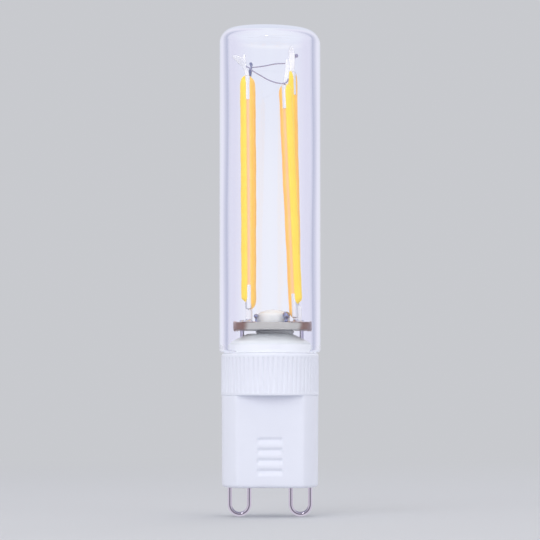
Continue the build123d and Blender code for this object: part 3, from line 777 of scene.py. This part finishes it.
def housing_points(sizes):
    """Rings of the housing.

    Radius is the smaller of the round wall and the flat, blended at their corner by a high power.
    The grooves pull it in by a bell curve at each rib gap, and the notches pull the flats in by an
    eased ramp that grows with height and ends in a short step.
    """
    rows, tops = housing_rows(sizes)
    height, radius, flat, groove, notch = (rows[:, k : k + 1] for k in range(5))
    columns_per_rib = 12
    angle = full_turn(sizes.ribs * columns_per_rib)[None, :]
    corner_power = 60.0
    to_flat = np.maximum(radius * np.abs(np.sin(angle)) / flat, 1e-3)
    reach = radius * (1.0 + to_flat**corner_power) ** (-1.0 / corner_power)
    pitch = 2 * np.pi / sizes.ribs
    start = math.radians(-92.1)
    from_groove = (np.mod(angle - start + pitch / 2, pitch) - pitch / 2) * radius
    bell = np.exp(-((from_groove / (0.36 * sizes.groove_width)) ** 4))
    reach = reach - groove * sizes.groove_depth * bell
    x, y = reach * np.cos(angle), reach * np.sin(angle)
    up = (height - (tops[None, :] - sizes.notch_height)) / sizes.notch_height
    ramp = (eased(up / 0.8) * eased((1.0 - up) / 0.42)).sum(axis=1, keepdims=True)
    inside = notch * eased((sizes.notch_width / 2 - np.abs(x)) / (0.45 * MM))
    y = y - np.sign(y) * inside * ramp * sizes.notch_depth
    return np.stack([x, y, np.broadcast_to(height, x.shape)], axis=-1)


class LAMP_OT_glass(bpy.types.Operator):
    """Builds the glass envelope and the adhesive ring under its rim"""

    bl_idname = "lamp.glass"
    bl_label = "Glass"

    def execute(self, context):
        sizes = context.scene.lamp_glass
        glass = kept_finish("Clear glass", glass_finish)
        tube = closed_skin(glass_points(sizes))
        add_piece("glass_tube", [tube], glass, "glass_envelope", sharp=60.0)
        low, high = box("glass_adhesive")
        inner = box("filament_carrier")[1][0] - 0.12 * MM
        seam_top = box("glass_envelope")[0][2]
        film = box("glass_envelope")[1][0] - sizes.wall + 0.01 * MM
        bulge = 0.12 * MM
        outline = soft_outline(
            [
                (inner, low[2]),
                (high[0] - bulge, low[2]),
                (high[0], (low[2] + seam_top) / 2),
                (high[0] - bulge, seam_top),
                (film, seam_top),
                (film, high[2] + 0.35 * MM),
                (inner, high[2]),
            ],
            [0.05 * MM, 0.06 * MM, 0.05 * MM, 0.05 * MM, 0.05 * MM],
            0.4 * MM,
            4,
        )
        silicone = grained("White silicone", (0.88, 0.90, 0.97), 0.03, 0.4)
        ring = closed_skin(turned(outline, 128), ring=True)
        add_piece("adhesive_ring", [ring], silicone, "glass_adhesive")
        return {"FINISHED"}


def glass_points(sizes):
    """Rings of the envelope: outer crown, wall, rim, bore and inner crown.

    Near the crown each point drops by the rise times the square of its radius and by the lean along
    X, and the bore's radius wavers by two sines of angle and height.
    """
    low, high = box("glass_envelope")
    radius, foot, top = high[0], low[2], high[2] - sizes.drop
    bore = radius - sizes.wall
    outline = soft_outline(
        [
            (AXIS_GAP, top),
            (radius, top),
            (radius, foot),
            (bore, foot),
            (bore, top - sizes.crown),
            (AXIS_GAP, top - sizes.crown),
        ],
        [sizes.shoulder, sizes.rim, sizes.rim, sizes.inner_shoulder],
        0.9 * MM,
        14,
    )
    points = turned(outline, 192)
    x, y, z = points[..., 0], points[..., 1], points[..., 2]
    across = np.hypot(x, y)
    near_crown = eased((z - (top - 7 * MM)) / (5 * MM))
    drop = sizes.rise * (across / radius) ** 2 + math.tan(sizes.lean) * (x + 0.3 * radius)
    points[..., 2] = z - near_crown * np.maximum(drop, 0.0)
    angle = np.arctan2(y, x)
    waver = np.sin(3 * angle + 150 * z) + 0.7 * np.sin(5 * angle - 230 * z + 1.0)
    in_bore = (across < bore + 0.2 * MM) & (across > 0.8 * bore)
    scale = 1.0 + in_bore * sizes.ripple * waver / radius
    points[..., 0], points[..., 1] = x * scale, y * scale
    return points


class LAMP_OT_carrier(bpy.types.Operator):
    """Builds the plug in the glass foot, the clear bead and the white cap"""

    bl_idname = "lamp.carrier"
    bl_label = "Carrier"

    def execute(self, context):
        plastic = kept_finish("White plastic", white_finish)
        resin = kept_finish("Clear resin", resin_finish)
        low, high = box("filament_carrier")
        flange = high[0]
        foot = flange - 0.14 * MM
        seat = box("base_housing")[1][2]
        neck_top, bead_top = round_box("board_bead")[:2]
        neck, stem, pin = 3.35 * MM, 1.3 * MM, 0.9 * MM
        outline = soft_outline(
            [
                (AXIS_GAP, low[2]),
                (flange, low[2]),
                (flange, seat),
                (foot, seat + 0.1 * MM),
                (foot, neck_top - 1.35 * MM),
                (neck + 0.9 * MM, neck_top - 0.42 * MM),
                (neck, neck_top),
                (AXIS_GAP, neck_top),
            ],
            [0.1 * MM, 0.05 * MM, 0.05 * MM, 0.75 * MM, 0.8 * MM, 0.08 * MM],
            0.7 * MM,
            10,
        )
        middle = (0.55 * MM, 0.0)
        post = soft_outline(
            [
                (AXIS_GAP, neck_top - 0.2 * MM),
                (stem, neck_top - 0.2 * MM),
                (stem, bead_top),
                (pin, bead_top),
                (pin, high[2]),
                (AXIS_GAP, high[2]),
            ],
            [0.05 * MM] * 4,
        )
        skins = [closed_skin(turned(outline, 160)), closed_skin(turned(post, 48, middle))]
        add_piece("carrier_plug", skins, plastic, "filament_carrier")
        self.add_bead(resin)
        self.add_cap(plastic)
        return {"FINISHED"}

    def add_bead(self, resin):
        """Clear bead: a drum with a bulging side, pierced by the carrier's post."""
        foot, top, centre, radius = round_box("board_bead")
        hole, side, bulge = 1.36 * MM, radius - 0.28 * MM, radius + 0.1 * MM
        outline = soft_outline(
            [(hole, foot), (side, foot), (bulge, (foot + top) / 2), (side, top), (hole, top)],
            [0.06 * MM, 0.3 * MM, 0.06 * MM],
            0.4 * MM,
            8,
        )
        ring = closed_skin(turned(outline, 96, centre), ring=True)
        add_piece("clear_bead", [ring], resin, "board_bead")

    def add_cap(self, plastic):
        """White cap: an upright side under a dome that is a quarter ellipse in outline."""
        foot, top, centre, radius = round_box("board_cap")
        side, edge = foot + 0.95 * MM, 0.06 * MM
        turn = np.linspace(0.0, 0.97 * np.pi / 2, 24)
        dome = np.stack([radius * np.cos(turn), side + (top - side) * np.sin(turn) ** 0.9], axis=1)
        start = np.array([(AXIS_GAP, foot), (radius - edge, foot), (radius, foot + edge)])
        outline = divided(np.concatenate([start, dome]), 0.5 * MM)
        skin = closed_skin(turned(outline, 96, centre))
        add_piece("white_cap", [skin], plastic, "board_cap")


class LAMP_OT_board(bpy.types.Operator):
    """Builds the filament board, its solder and its terminals"""

    bl_idname = "lamp.board"
    bl_label = "Filament board"

    def execute(self, context):
        foot, top, centre, radius = round_box("filament_board")
        edge = 0.12 * MM
        outline = soft_outline(
            [(AXIS_GAP, foot), (radius, foot), (radius, top), (AXIS_GAP, top)], [edge, edge], 0.6 * MM
        )
        laminate = kept_finish("Board laminate", board_finish)
        skin = closed_skin(turned(outline, 144, centre))
        add_piece("round_board", [skin], laminate, "filament_board")
        self.add_pads(centre, radius, foot)
        self.add_solder()
        self.add_terminals()
        return {"FINISHED"}

    def add_pads(self, centre, rim, foot):
        """Pads with plating over the rim.

        A pad is a flat half moon between a straight edge and the rim. The plating is a rounded box
        section carried along the rim, thickest at the middle, with a lumpy skin from three sines.
        """
        surface = box("board_copper")[1][2]
        film, straight_edge, half_angle = 0.1 * MM, 2.37 * MM, math.radians(47)
        inset, roundness = 0.12 * MM, 0.6
        skins = []
        for side in (-1, 1):
            edge = side * straight_edge + centre[0] * (side < 0)
            y = 0.985 * rim * np.sin(np.linspace(-0.36 * np.pi, 0.36 * np.pi, 48))[:, None]
            out = centre[0] + side * np.sqrt(rim**2 - y**2)
            x = np.concatenate([edge + 0 * y, out, out, edge + 0 * y], axis=1)
            z = np.array([surface - film, surface - film, surface, surface])[None, :]
            skins.append(closed_skin(np.stack([x, y + 0 * x, z + 0 * x], axis=-1)))
            place = np.linspace(-1.0, 1.0, 110)[:, None]
            around = full_turn(28)[None, :]
            lump = np.sin(37 * place + 2 * around + side) + np.sin(61 * place - 3 * around)
            lump = lump + np.sin(23 * place + side)
            swell = np.maximum(np.sqrt(1.0 - place**2), 0.1)
            thick = (0.13 + 0.025 * lump) * MM * swell
            tall = (0.12 + 0.50 * swell**0.8 + 0.055 * lump * swell) * MM
            reach = rim - inset + thick * signed_power(np.cos(around), roundness)
            level = (foot + surface) / 2 + tall * signed_power(np.sin(around), roundness)
            turn = place * half_angle
            x = centre[0] + side * reach * np.cos(turn)
            skins.append(closed_skin(np.stack([x, reach * np.sin(turn), level], axis=-1)))
        browned = kept_finish("Browned solder", browned_finish)
        add_piece("plated_pads", skins, browned, "board_copper")

    def add_solder(self):
        """Concave fillets: radius = top + (foot - top) * (1 - height share) squared."""
        solder = kept_finish("Solder", solder_finish)
        surface = box("board_copper")[1][2]
        rise = np.linspace(0.0, 1.0, 12)
        feet, leads = [], []
        for name in FILAMENTS:
            foot = filament_frame(name)[0]
            height = min(0.42 * MM, 0.7 * (foot[2] - surface))
            outline = np.stack([(0.38 + 0.42 * (1 - rise) ** 2) * MM, surface + rise * height], axis=1)
            feet.append(closed_skin(turned(outline, 40, (foot[0], foot[1]))))
        for side in ("left", "right"):
            lead_low, lead_high = box(f"feed_lead_{side}")
            middle = (lead_low + lead_high) / 2
            outline = np.stack([(0.32 + 0.28 * (1 - rise) ** 2) * MM, surface + rise * 0.36 * MM], axis=1)
            leads.append(closed_skin(turned(outline, 40, (middle[0], middle[1]))))
        add_piece("filament_feet_solder", feet, solder, "foot_solder")
        add_piece("lead_tips_solder", leads, solder, "lead_solder")

    def add_terminals(self):
        """Two glossy knobs beside the cap.

        A knob is a short neck under a ball, with r = R sin t and z = top - R (1 + cos t).
        """
        surface = box("board_copper")[1][2]
        centre, cap_radius = round_box("board_cap")[2:]
        knobs = []
        for direction, gap, radius, top in ((-156.4, 0.02, 0.34, 1.25), (-54.5, 0.02, 0.56, 1.55)):
            distance = cap_radius + (gap + radius) * MM
            turn = np.linspace(0.15 * np.pi, 0.97 * np.pi, 24)
            ball = np.stack([radius * np.sin(turn), top - radius * (1.0 + np.cos(turn))], axis=1) * MM
            neck = [(0.8 * radius, 0.0), (0.5 * radius, 0.12), (0.45 * radius, top - 1.9 * radius)]
            outline = np.concatenate([np.array(neck) * MM, ball]) + np.array([0.0, surface])
            x = centre[0] + distance * math.cos(math.radians(direction))
            y = distance * math.sin(math.radians(direction))
            knobs.append(closed_skin(turned(outline, 40, (x, y))))
        # Partly painted reflection: the knobs are shiny metal, and their dark bluish base colour stands in
        # for the dim room they reflect, on top of the reflections the room gives.
        dark = drawn("Terminal metal", (0.40, 0.43, 0.60), 0.1, 0.08, 0.02)
        add_piece("terminal_knobs", knobs, dark, "board_terminals")


def browned_finish(name):
    """Plating under brown flux: metal and brown patches by a noise."""
    finish = bpy.context.scene.lamp_finish
    material, shader = principled(name, Roughness=0.34)
    tree = material.node_tree
    patches = stretched_noise(tree, (1100.0, 1100.0, 1800.0), 4.0)
    share = smooth_band(tree, patches, 0.38, 0.62)
    base = mixed(tree, share, (*finish.burnt, 1), (*finish.pale_burnt, 1))
    tree.links.new(base, shader.inputs["Base Color"])
    tree.links.new(maths(tree, "MULTIPLY", share, 0.5), shader.inputs["Metallic"])
    tree.links.new(raised(tree, patches, 0.4, 0.05 * MM), shader.inputs["Normal"])
    return material


def solder_finish(name):
    """Bright solder with a slightly frosted skin."""
    return grained(name, (0.80, 0.80, 0.83), 0.25, 0.24, 0.3, Metallic=1.0)


def bright_finish(name):
    """Bright strip metal of the filament ends, darker where its skin turns away: a painted reflection of the
    dim room at grazing angles.
    """
    finish = bpy.context.scene.lamp_finish
    material = drawn(name, tuple(finish.bright), 0.08, 0.25, metallic=0.35)
    tree = material.node_tree
    lines = tree.nodes["Surface"].outputs["Colour"]
    waves = raised(tree, stretched_noise(tree, (1500.0, 1500.0, 1100.0), 1.5), 0.35, 0.3 * MM)
    # Painted reflection: where the skin faces away from the camera, the base is mixed towards the near-black
    # turned colour.
    turned_off = add_node(tree, "ShaderNodeLayerWeight", Blend=0.35)
    tree.links.new(waves, turned_off.inputs["Normal"])
    edge = maths(tree, "POWER", turned_off.outputs["Facing"], 2.5)
    base = mixed(tree, edge, lines, (*finish.turned, 1))
    tree.links.new(base, tree.nodes["Principled BSDF"].inputs["Base Color"])
    return material


def dull_finish(name):
    """Dull violet-grey link wire."""
    return drawn(name, tuple(bpy.context.scene.lamp_finish.dull), 0.12, 0.25, metallic=0.8)


def dark_reflection_finish(name):
    """Strip metal whose dark bluish colour is a painted reflection of the dim room in front."""
    return drawn(name, tuple(bpy.context.scene.lamp_finish.dark_reflection), 0.3, 0.2, metallic=0.8)


def nickel_finish(name):
    """Nickel-plated wire."""
    return drawn(name, tuple(bpy.context.scene.lamp_finish.nickel), 0.12, 0.07, 0.02)


class LAMP_OT_filaments(bpy.types.Operator):
    """Builds the four filaments: coating, strip, chips and metal ends"""

    bl_idname = "lamp.filaments"
    bl_label = "Filaments"

    def execute(self, context):
        sizes = context.scene.lamp_filament
        phosphor = kept_finish("Phosphor coating", phosphor_finish)
        bright = kept_finish("Bright strip metal", bright_finish)
        ceramic = kept_finish("Strip ceramic", lambda name: grained(name, (0.86, 0.86, 0.84), 0.05, 0.5))
        chip = kept_finish("Chip", lambda name: grained(name, (0.35, 0.55, 0.72), 0.2, 0.2))
        dark_reflecting_metal = kept_finish("Dark-reflecting strip metal", dark_reflection_finish)
        surface = box("board_copper")[1][2]
        # behind is the share of painted shade on the lobe turned from the light; chips picks the yellow lobe.
        looks = {
            "front_left": {"chips": -1, "behind": 0.35, "seam": 1.0, "cut": 0.7, "lift": 0.22},
            "back_left": {"chips": -1, "behind": 0.5, "seam": 0.4, "cut": 0.7, "lift": 0.10},
            "front_right": {"chips": 1, "behind": 0.9, "seam": 0.8, "cut": 1.7, "lift": 0.0},
            "back_right": {"chips": -1, "behind": 0.8, "seam": 0.0, "cut": 0.6, "lift": 0.42},
        }
        for index, name in enumerate(FILAMENTS):
            look = looks[name]
            place = filament_frame(name, look["lift"] * MM)
            skin = closed_skin(coating_points(sizes, place, look, 1.7 * index))
            replaced, marks = f"filament_{name}_coating", ("lobe", "groove")
            add_piece(f"coating_{name}", [skin], phosphor, replaced, marks=marks)
            dress(f"filament_{name}_substrate", ceramic)
            dress(f"filament_{name}_chips", chip)
            # The back left top tab takes the painted dark reflection colour.
            add_piece(
                f"top_tab_{name}",
                [crimp_skin(sizes, place, True)] + tongue_skins(sizes, name, place[1]),
                dark_reflecting_metal if name == "back_left" else bright,
                f"filament_{name}_top_tab",
            )
            add_piece(
                f"foot_tab_{name}",
                [crimp_skin(sizes, place, False), foot_tongue(sizes, name, place[0], surface)],
                bright,
                f"filament_{name}_foot_tab",
            )
        return {"FINISHED"}


def coating_points(sizes, place, look, phase):
    """Coating rings along the filament.

    A section is an ellipse, x = w sin a and y = d cos a, pulled in at x = 0 by a bell curve, so that
    two lobes stand beside a groove. Its size follows a full quarter oval at both tips and wavers a
    little along the way, and at the foot the lobe over the chips ends earlier by the cut. The marks
    tell the lobes apart, 1 over the chips and minus the share behind on the other lobe, and give the
    bell curve. That other lobe's colour is painted shade for the side turned from the light, and the
    share behind sets how much of the shaded_orange colour it gets.
    """
    foot, head, across, wide, along = place
    full = np.linalg.norm(head - foot)
    bend = np.linspace(0.06, np.pi / 2, 14)
    tip = sizes.tip * (1.0 - np.cos(bend))
    height = np.concatenate([tip, np.linspace(sizes.tip, full - sizes.tip, 72)[1:-1], full - tip[::-1]])
    near_end = np.clip(np.minimum(height, full - height) / sizes.tip, 0.0, 1.0)
    share = (1.0 - (1.0 - near_end) ** 2.6) ** (1 / 2.6)
    waver = 1.0 + 0.018 * np.sin(850 * height + phase) + 0.012 * np.sin(2300 * height + 2 * phase)
    size = (share * waver)[:, None]
    angle = full_turn(64)[None, :]
    x = sizes.width / 2 * size * np.sin(angle)
    bell = np.exp(-((x / (sizes.waist_width * (0.3 + 0.7 * size))) ** 2)) * np.abs(np.cos(angle)) ** 0.5
    y = sizes.depth / 2 * size * np.cos(angle) - np.sign(np.cos(angle)) * sizes.waist * size * bell
    # Lobe mark: 1 on the yellow lobe, minus the painted-shade share on the other lobe.
    lobe = np.clip(look["chips"] * np.sin(angle) / 0.2, -look["behind"], 1.0)
    kept = eased((height - look["cut"] * MM) / (1.1 * MM))[:, None]
    shrink = np.where(look["chips"] * np.sin(angle) > 0, 0.12 + 0.88 * kept, 1.0)
    x, y = x * shrink, y * (0.5 + 0.5 * shrink)
    points = foot + height[:, None, None] * along + x[..., None] * across + y[..., None] * wide
    lobe = np.broadcast_to(lobe, x.shape)
    groove = look["seam"] * np.broadcast_to(np.clip(bell * 1.1, 0.0, 1.0), x.shape)
    return np.concatenate([points, lobe[..., None], groove[..., None]], axis=-1)


def crimp_skin(sizes, place, at_head):
    """Folded metal end: a rounded box along the filament's axis inside the coating's last stretch."""
    foot, head, across, wide, along = place
    bar_length = sizes.crimp_length
    start = head - along * bar_length if at_head else foot
    share = rounded_ends(22, 0.06)[:, None, None]
    height = np.linspace(0.0, bar_length, 22)[:, None, None]
    angle = full_turn(32)
    boxy = 0.4
    c, s = signed_power(np.cos(angle), boxy), signed_power(np.sin(angle), boxy)
    ring = sizes.crimp_thickness / 2 * c[:, None] * across + sizes.crimp_width / 2 * s[:, None] * wide
    return closed_skin(start + height * along + share * ring[None])


def tongue_skins(sizes, name, head):
    """Bent tongues as ribbons; each stop is x and z from the head, half width and twist in degrees."""
    ribbons = {
        "front_left": [
            [(0.02, -0.5, 0.30, 0), (-0.04, 0.5, 0.30, 8), (-0.38, 1.25, 0.28, 20), (-0.72, 1.95, 0.50, 25),
             (-1.35, 2.55, 0.44, 20), (-1.98, 2.92, 0.12, 10)],
            [(-0.20, 0.9, 0.24, 15), (-0.42, 1.6, 0.34, 20), (-0.52, 2.3, 0.36, 12), (-0.32, 3.22, 0.10, 0)],
        ],
        "back_left": [
            [(0.0, -0.5, 0.26, 0), (0.05, 0.4, 0.30, 30), (0.20, 1.2, 0.42, 65), (0.30, 1.9, 0.38, 110),
             (0.12, 2.3, 0.16, 140)],
        ],
        "front_right": [
            [(0.02, -0.5, 0.30, 0), (0.10, 0.6, 0.36, 5), (0.24, 2.0, 0.32, 12), (0.28, 3.2, 0.28, 5),
             (0.26, 3.76, 0.14, 0)],
        ],
        "back_right": [
            [(0.02, -0.5, 0.34, 0), (0.06, 0.5, 0.46, 4), (0.09, 2.0, 0.50, 10), (0.02, 3.1, 0.44, 20),
             (-0.02, 3.80, 0.20, 30)],
        ],
    }
    skins = []
    for stops in ribbons[name]:
        curve = smooth_route(stops, 40)
        x, z = head[0] + curve[:, 0] * MM, head[2] + curve[:, 1] * MM
        route = np.stack([x, np.full(40, head[1]), z], axis=1)
        ends = rounded_ends(40, 0.05)
        half_width = curve[:, 2] * MM * ends
        twist = np.radians(curve[:, 3])
        skins.append(closed_skin(swept(route, half_width, sizes.tongue / 2 * ends, twist, 28, 5.0)))
    return skins


def foot_tongue(sizes, name, foot, surface):
    """Straight tongue from the board's copper up into the filament's foot, wide on the right."""
    wide = name == "front_right"
    x = foot[0] + wide * 0.22 * MM
    top = foot[2] + (1.9 * MM if wide else 0.5 * MM)
    route = smooth_route([(x, foot[1], surface), (x, foot[1], top)], 14)
    half = (0.56 if wide else 0.39) * MM
    return closed_skin(swept(route, half * rounded_ends(14, 0.1), sizes.tongue / 2, 0.0, 28, 5.0))


class LAMP_OT_links(bpy.types.Operator):
    """Builds the two link wires between the filaments' upper ends"""

    bl_idname = "lamp.links"
    bl_label = "Link wires"

    def execute(self, context):
        sizes = context.scene.lamp_filament
        wire = kept_finish("Dull wire", dull_finish)
        radius = sizes.link / 2
        stand_off = sizes.tongue / 2 + radius
        front_y = filament_frame("front_left")[1][1] - stand_off
        back_y = filament_frame("back_left")[1][1] + stand_off
        front = [
            (-3.42, 62.05), (-2.95, 61.82), (-2.50, 61.40), (-1.45, 60.75), (-0.10, 59.98), (1.20, 59.56),
            (2.05, 59.55), (2.50, 59.85), (2.62, 60.25),
        ]
        back = [(-2.85, 62.55), (-0.90, 62.78), (0.90, 63.12), (2.60, 63.22), (3.50, 63.62), (4.05, 64.35)]
        for name, route, depth in (("front", front, front_y), ("back", back, back_y)):
            stops = [(x * MM, depth, z * MM) for x, z in route]
            line = smooth_route(stops, 120)
            thickness = radius * rounded_ends(120, 0.01)
            skins = [closed_skin(swept(line, thickness, thickness))]
            if name == "back":
                skins.append(melted_bead(line[-1], 0.3 * MM))
            add_piece(f"link_{name}", skins, wire, f"link_wire_{name}")
        return {"FINISHED"}


def melted_bead(centre, radius):
    """Small ball: rings of radius r sin t at height -r cos t."""
    turn = np.linspace(0.12, np.pi - 0.12, 18)
    outline = np.stack([radius * np.sin(turn), centre[2] - radius * np.cos(turn)], axis=1)
    return closed_skin(turned(outline, 28, (centre[0], centre[1])))


class LAMP_OT_wires(bpy.types.Operator):
    """Builds the feed leads and the two contact pins"""

    bl_idname = "lamp.wires"
    bl_label = "Leads and pins"

    def execute(self, context):
        wire = kept_finish("Nickel wire", nickel_finish)
        for side in ("left", "right"):
            low, high = box(f"feed_lead_{side}")
            centre = (low + high) / 2
            radius = (high[0] - low[0]) / 2
            route = smooth_route([(centre[0], centre[1], low[2]), (centre[0], centre[1], high[2])], 30)
            thickness = radius * rounded_ends(30, 0.04)
            lead = closed_skin(swept(route, thickness, thickness))
            add_piece(f"lead_{side}", [lead], wire, f"feed_lead_{side}")
            add_piece(f"pin_{side}", [closed_skin(pin_points(side))], wire, f"contact_pin_{side}")
        return {"FINISHED"}


def pin_points(side):
    """Round wire along two upright legs joined by a half circle."""
    low, high = box(f"contact_pin_{side}")
    radius = 0.34 * MM
    way = 1.0 if side == "right" else -1.0
    middle = (low[0] + high[0]) / 2
    half = (high[0] - low[0]) / 2 - radius
    bend_z = low[2] + radius + half
    outer_top = 2.4 * MM
    turn = np.linspace(0.0, np.pi, 72)
    down = np.linspace(high[2], bend_z, 24, endpoint=False)
    up = np.linspace(bend_z, outer_top, 17)[1:]
    inner = np.stack([np.full(24, middle - way * half), down], axis=1)
    bend = np.stack([middle - way * half * np.cos(turn), bend_z - half * np.sin(turn)], axis=1)
    outer = np.stack([np.full(16, middle + way * half), up], axis=1)
    flat = np.concatenate([inner, bend, outer])
    route = np.stack([flat[:, 0], np.zeros(len(flat)), flat[:, 1]], axis=1)
    return swept(route, radius, radius, 0.0, 32)


class LAMP_OT_driver(bpy.types.Operator):
    """Finishes the driver board and its parts inside the housing"""

    bl_idname = "lamp.driver"
    bl_label = "Driver"

    def execute(self, context):
        finishes = {
            "driver_board": grained("Driver laminate", (0.10, 0.30, 0.14), 0.15, 0.4),
            "bridge_rectifier": grained("Package resin", (0.02, 0.02, 0.022), 0.2, 0.5, 0.4),
            "smoothing_capacitor": grained("Capacitor sleeve", (0.03, 0.035, 0.06), 0.1, 0.3),
            "fusible_resistor": grained("Resistor lacquer", (0.20, 0.34, 0.46), 0.12, 0.35),
            "chip_capacitor": grained("Chip ceramic", (0.45, 0.33, 0.22), 0.12, 0.45),
        }
        finishes["current_regulator"] = finishes["bridge_rectifier"]
        finishes["chip_resistors"] = finishes["bridge_rectifier"]
        finishes["driver_solder"] = kept_finish("Solder", solder_finish)
        for node, finish in finishes.items():
            dress(node, finish)
        return {"FINISHED"}


class LAMP_OT_stage(bpy.types.Operator):
    """Builds the floor, backdrop, lights and camera"""

    bl_idname = "lamp.stage"
    bl_label = "Stage"

    def execute(self, context):
        settings = context.scene.lamp_stage
        context.scene.view_settings.view_transform = "Standard"
        self.fill_world(context.scene)
        self.add_floor(settings)
        self.add_lights()
        self.add_camera(context.scene, settings)
        return {"FINISHED"}

    def ray_colour(self, tree, direction):
        """Colour for the kind of ray that goes in a direction, and whether that ray is a reflection."""
        room = tree.nodes.new("ShaderNodeGroup")
        room.node_tree = kept_group("Room colours", room_group)
        tree.links.new(direction, room.inputs["Direction"])
        rays = tree.nodes.new("ShaderNodeLightPath")
        made = tree.nodes.new("ShaderNodeGroup")
        made.node_tree = kept_group("Backdrop colour", backdrop_group)
        for ray in ("Camera", "Glossy", "Transmission"):
            tree.links.new(rays.outputs[f"Is {ray} Ray"], made.inputs[f"{ray} ray"])
        for label in ("Shine", "Through"):
            tree.links.new(room.outputs[label], made.inputs[label])
        return made.outputs["Colour"], rays.outputs["Is Glossy Ray"]

    def fill_world(self, scene):
        """Pale room all round."""
        world = bpy.data.worlds.new("Pale room")
        world.use_nodes = True
        tree = world.node_tree
        where = tree.nodes.new("ShaderNodeTexCoord")
        colour_there = self.ray_colour(tree, where.outputs["Generated"])[0]
        tree.links.new(colour_there, tree.nodes["Background"].inputs["Color"])
        scene.world = world

    def add_floor(self, settings):
        """Disc under the pins: lit near the lamp, backdrop colour further out, the room in reflections."""
        columns = 96
        radius = np.array([0.004, 0.05, 0.12, 0.3, 0.8, 2.0])
        top = turned(np.stack([radius, np.full(len(radius), cad_low[2])], axis=1), columns)
        under = turned(np.stack([radius[::-1], np.full(len(radius), cad_low[2] - 0.002)], axis=1), columns)
        vertices, quads, triangles = closed_skin(np.concatenate([top, under]))
        mesh = bpy.data.meshes.new("floor")
        mesh.from_pydata(vertices.tolist(), [], quads.tolist() + triangles.tolist())
        floor = placed("floor", mesh)
        material, shader = principled("Pale floor", Roughness=0.9, Specular_IOR_Level=0.1)
        shader.inputs["Base Color"].default_value = (*settings.backdrop, 1)
        tree = material.node_tree
        where = tree.nodes.new("ShaderNodeTexCoord")
        far = add_node(tree, "ShaderNodeVectorMath", {"operation": "LENGTH"})
        tree.links.new(where.outputs["Object"], far.inputs[0])
        lit_reach, backdrop_reach = 0.05, 0.4
        fade = smooth_band(tree, far.outputs["Value"], lit_reach, backdrop_reach)
        glow = tree.nodes.new("ShaderNodeEmission")
        towards_eye = tree.nodes.new("ShaderNodeNewGeometry").outputs["Incoming"]
        onwards = add_node(tree, "ShaderNodeVectorMath", {"operation": "SCALE"}, Scale=-1.0)
        tree.links.new(towards_eye, onwards.inputs[0])
        colour_there, reflected = self.ray_colour(tree, onwards.outputs[0])
        tree.links.new(colour_there, glow.inputs["Color"])
        share = maths(tree, "MAXIMUM", fade, reflected)
        surface = mixed_shader(tree, share, shader.outputs[0], glow.outputs[0])
        tree.links.new(surface, tree.nodes["Material Output"].inputs["Surface"])
        mesh.materials.append(material)

    def add_lights(self):
        """Soft square lights; each level is what it adds to a white surface that faces it."""
        target = np.array([0.0, 0.0, 0.03])
        lights = {
            "key": ((-0.26, -0.48, 0.26), 0.42, 0.34),
            "fill": ((0.42, -0.34, 0.12), 0.40, 0.18),
            "top": ((0.05, -0.02, 0.60), 0.45, 0.22),
            "rear": ((0.25, 0.45, 0.30), 0.40, 0.15),
            "spark": ((-0.07, -0.42, 0.22), 0.035, 0.03),
        }
        for name, (place, size, level) in lights.items():
            place = np.array(place)
            data = bpy.data.lights.new(name, "AREA")
            data.size = size
            data.energy = level * math.pi**2 * float(np.sum((place - target) ** 2))
            lamp = placed(name, data)
            lamp.location = place
            lamp.rotation_mode = "QUATERNION"
            lamp.rotation_quaternion = Vector(place - target).to_track_quat("Z", "Y")
            lamp.visible_camera = False
            lamp.visible_transmission = False
            lamp.visible_glossy = name == "spark"

    def add_camera(self, scene, settings):
        """Camera in front of the lamp, a little above its foot and looking slightly up."""
        data = bpy.data.cameras.new("camera")
        data.lens = settings.lens
        data.clip_start, data.clip_end = 0.01, 10.0
        camera = placed("camera", data)
        place = Vector((0.0, -settings.distance, settings.eye))
        camera.location = place
        camera.rotation_mode = "QUATERNION"
        camera.rotation_quaternion = (place - Vector((0.0, 0.0, settings.aim))).to_track_quat("Z", "Y")
        scene.camera = camera


STEPS = (
    LAMP_OT_housing,
    LAMP_OT_glass,
    LAMP_OT_carrier,
    LAMP_OT_board,
    LAMP_OT_filaments,
    LAMP_OT_links,
    LAMP_OT_wires,
    LAMP_OT_driver,
    LAMP_OT_stage,
)

SETTINGS = {
    "lamp_glass": LampGlass,
    "lamp_housing": LampHousing,
    "lamp_filament": LampFilament,
    "lamp_finish": LampFinish,
    "lamp_stage": LampStage,
}


class LAMP_PT_panel(bpy.types.Panel):
    """Lists the lamp's building steps in the sidebar"""

    bl_idname = "LAMP_PT_panel"
    bl_label = "Capsule lamp"
    bl_space_type = "VIEW_3D"
    bl_region_type = "UI"
    bl_category = "Lamp"

    def draw(self, context):
        for step in STEPS:
            self.layout.operator(step.bl_idname)


def register():
    for group in SETTINGS.values():
        bpy.utils.register_class(group)
    for name, group in SETTINGS.items():
        setattr(bpy.types.Scene, name, PointerProperty(type=group))
    for step in STEPS:
        bpy.utils.register_class(step)
    bpy.utils.register_class(LAMP_PT_panel)


def unregister():
    bpy.utils.unregister_class(LAMP_PT_panel)
    for step in reversed(STEPS):
        bpy.utils.unregister_class(step)
    for name in SETTINGS:
        delattr(bpy.types.Scene, name)
    for group in reversed(SETTINGS.values()):
        bpy.utils.unregister_class(group)


def main():
    """Builds everything."""
    register()
    for step in STEPS:
        family, name = step.bl_idname.split(".")
        getattr(getattr(bpy.ops, family), name)()


if __name__ == "__main__":
    main()
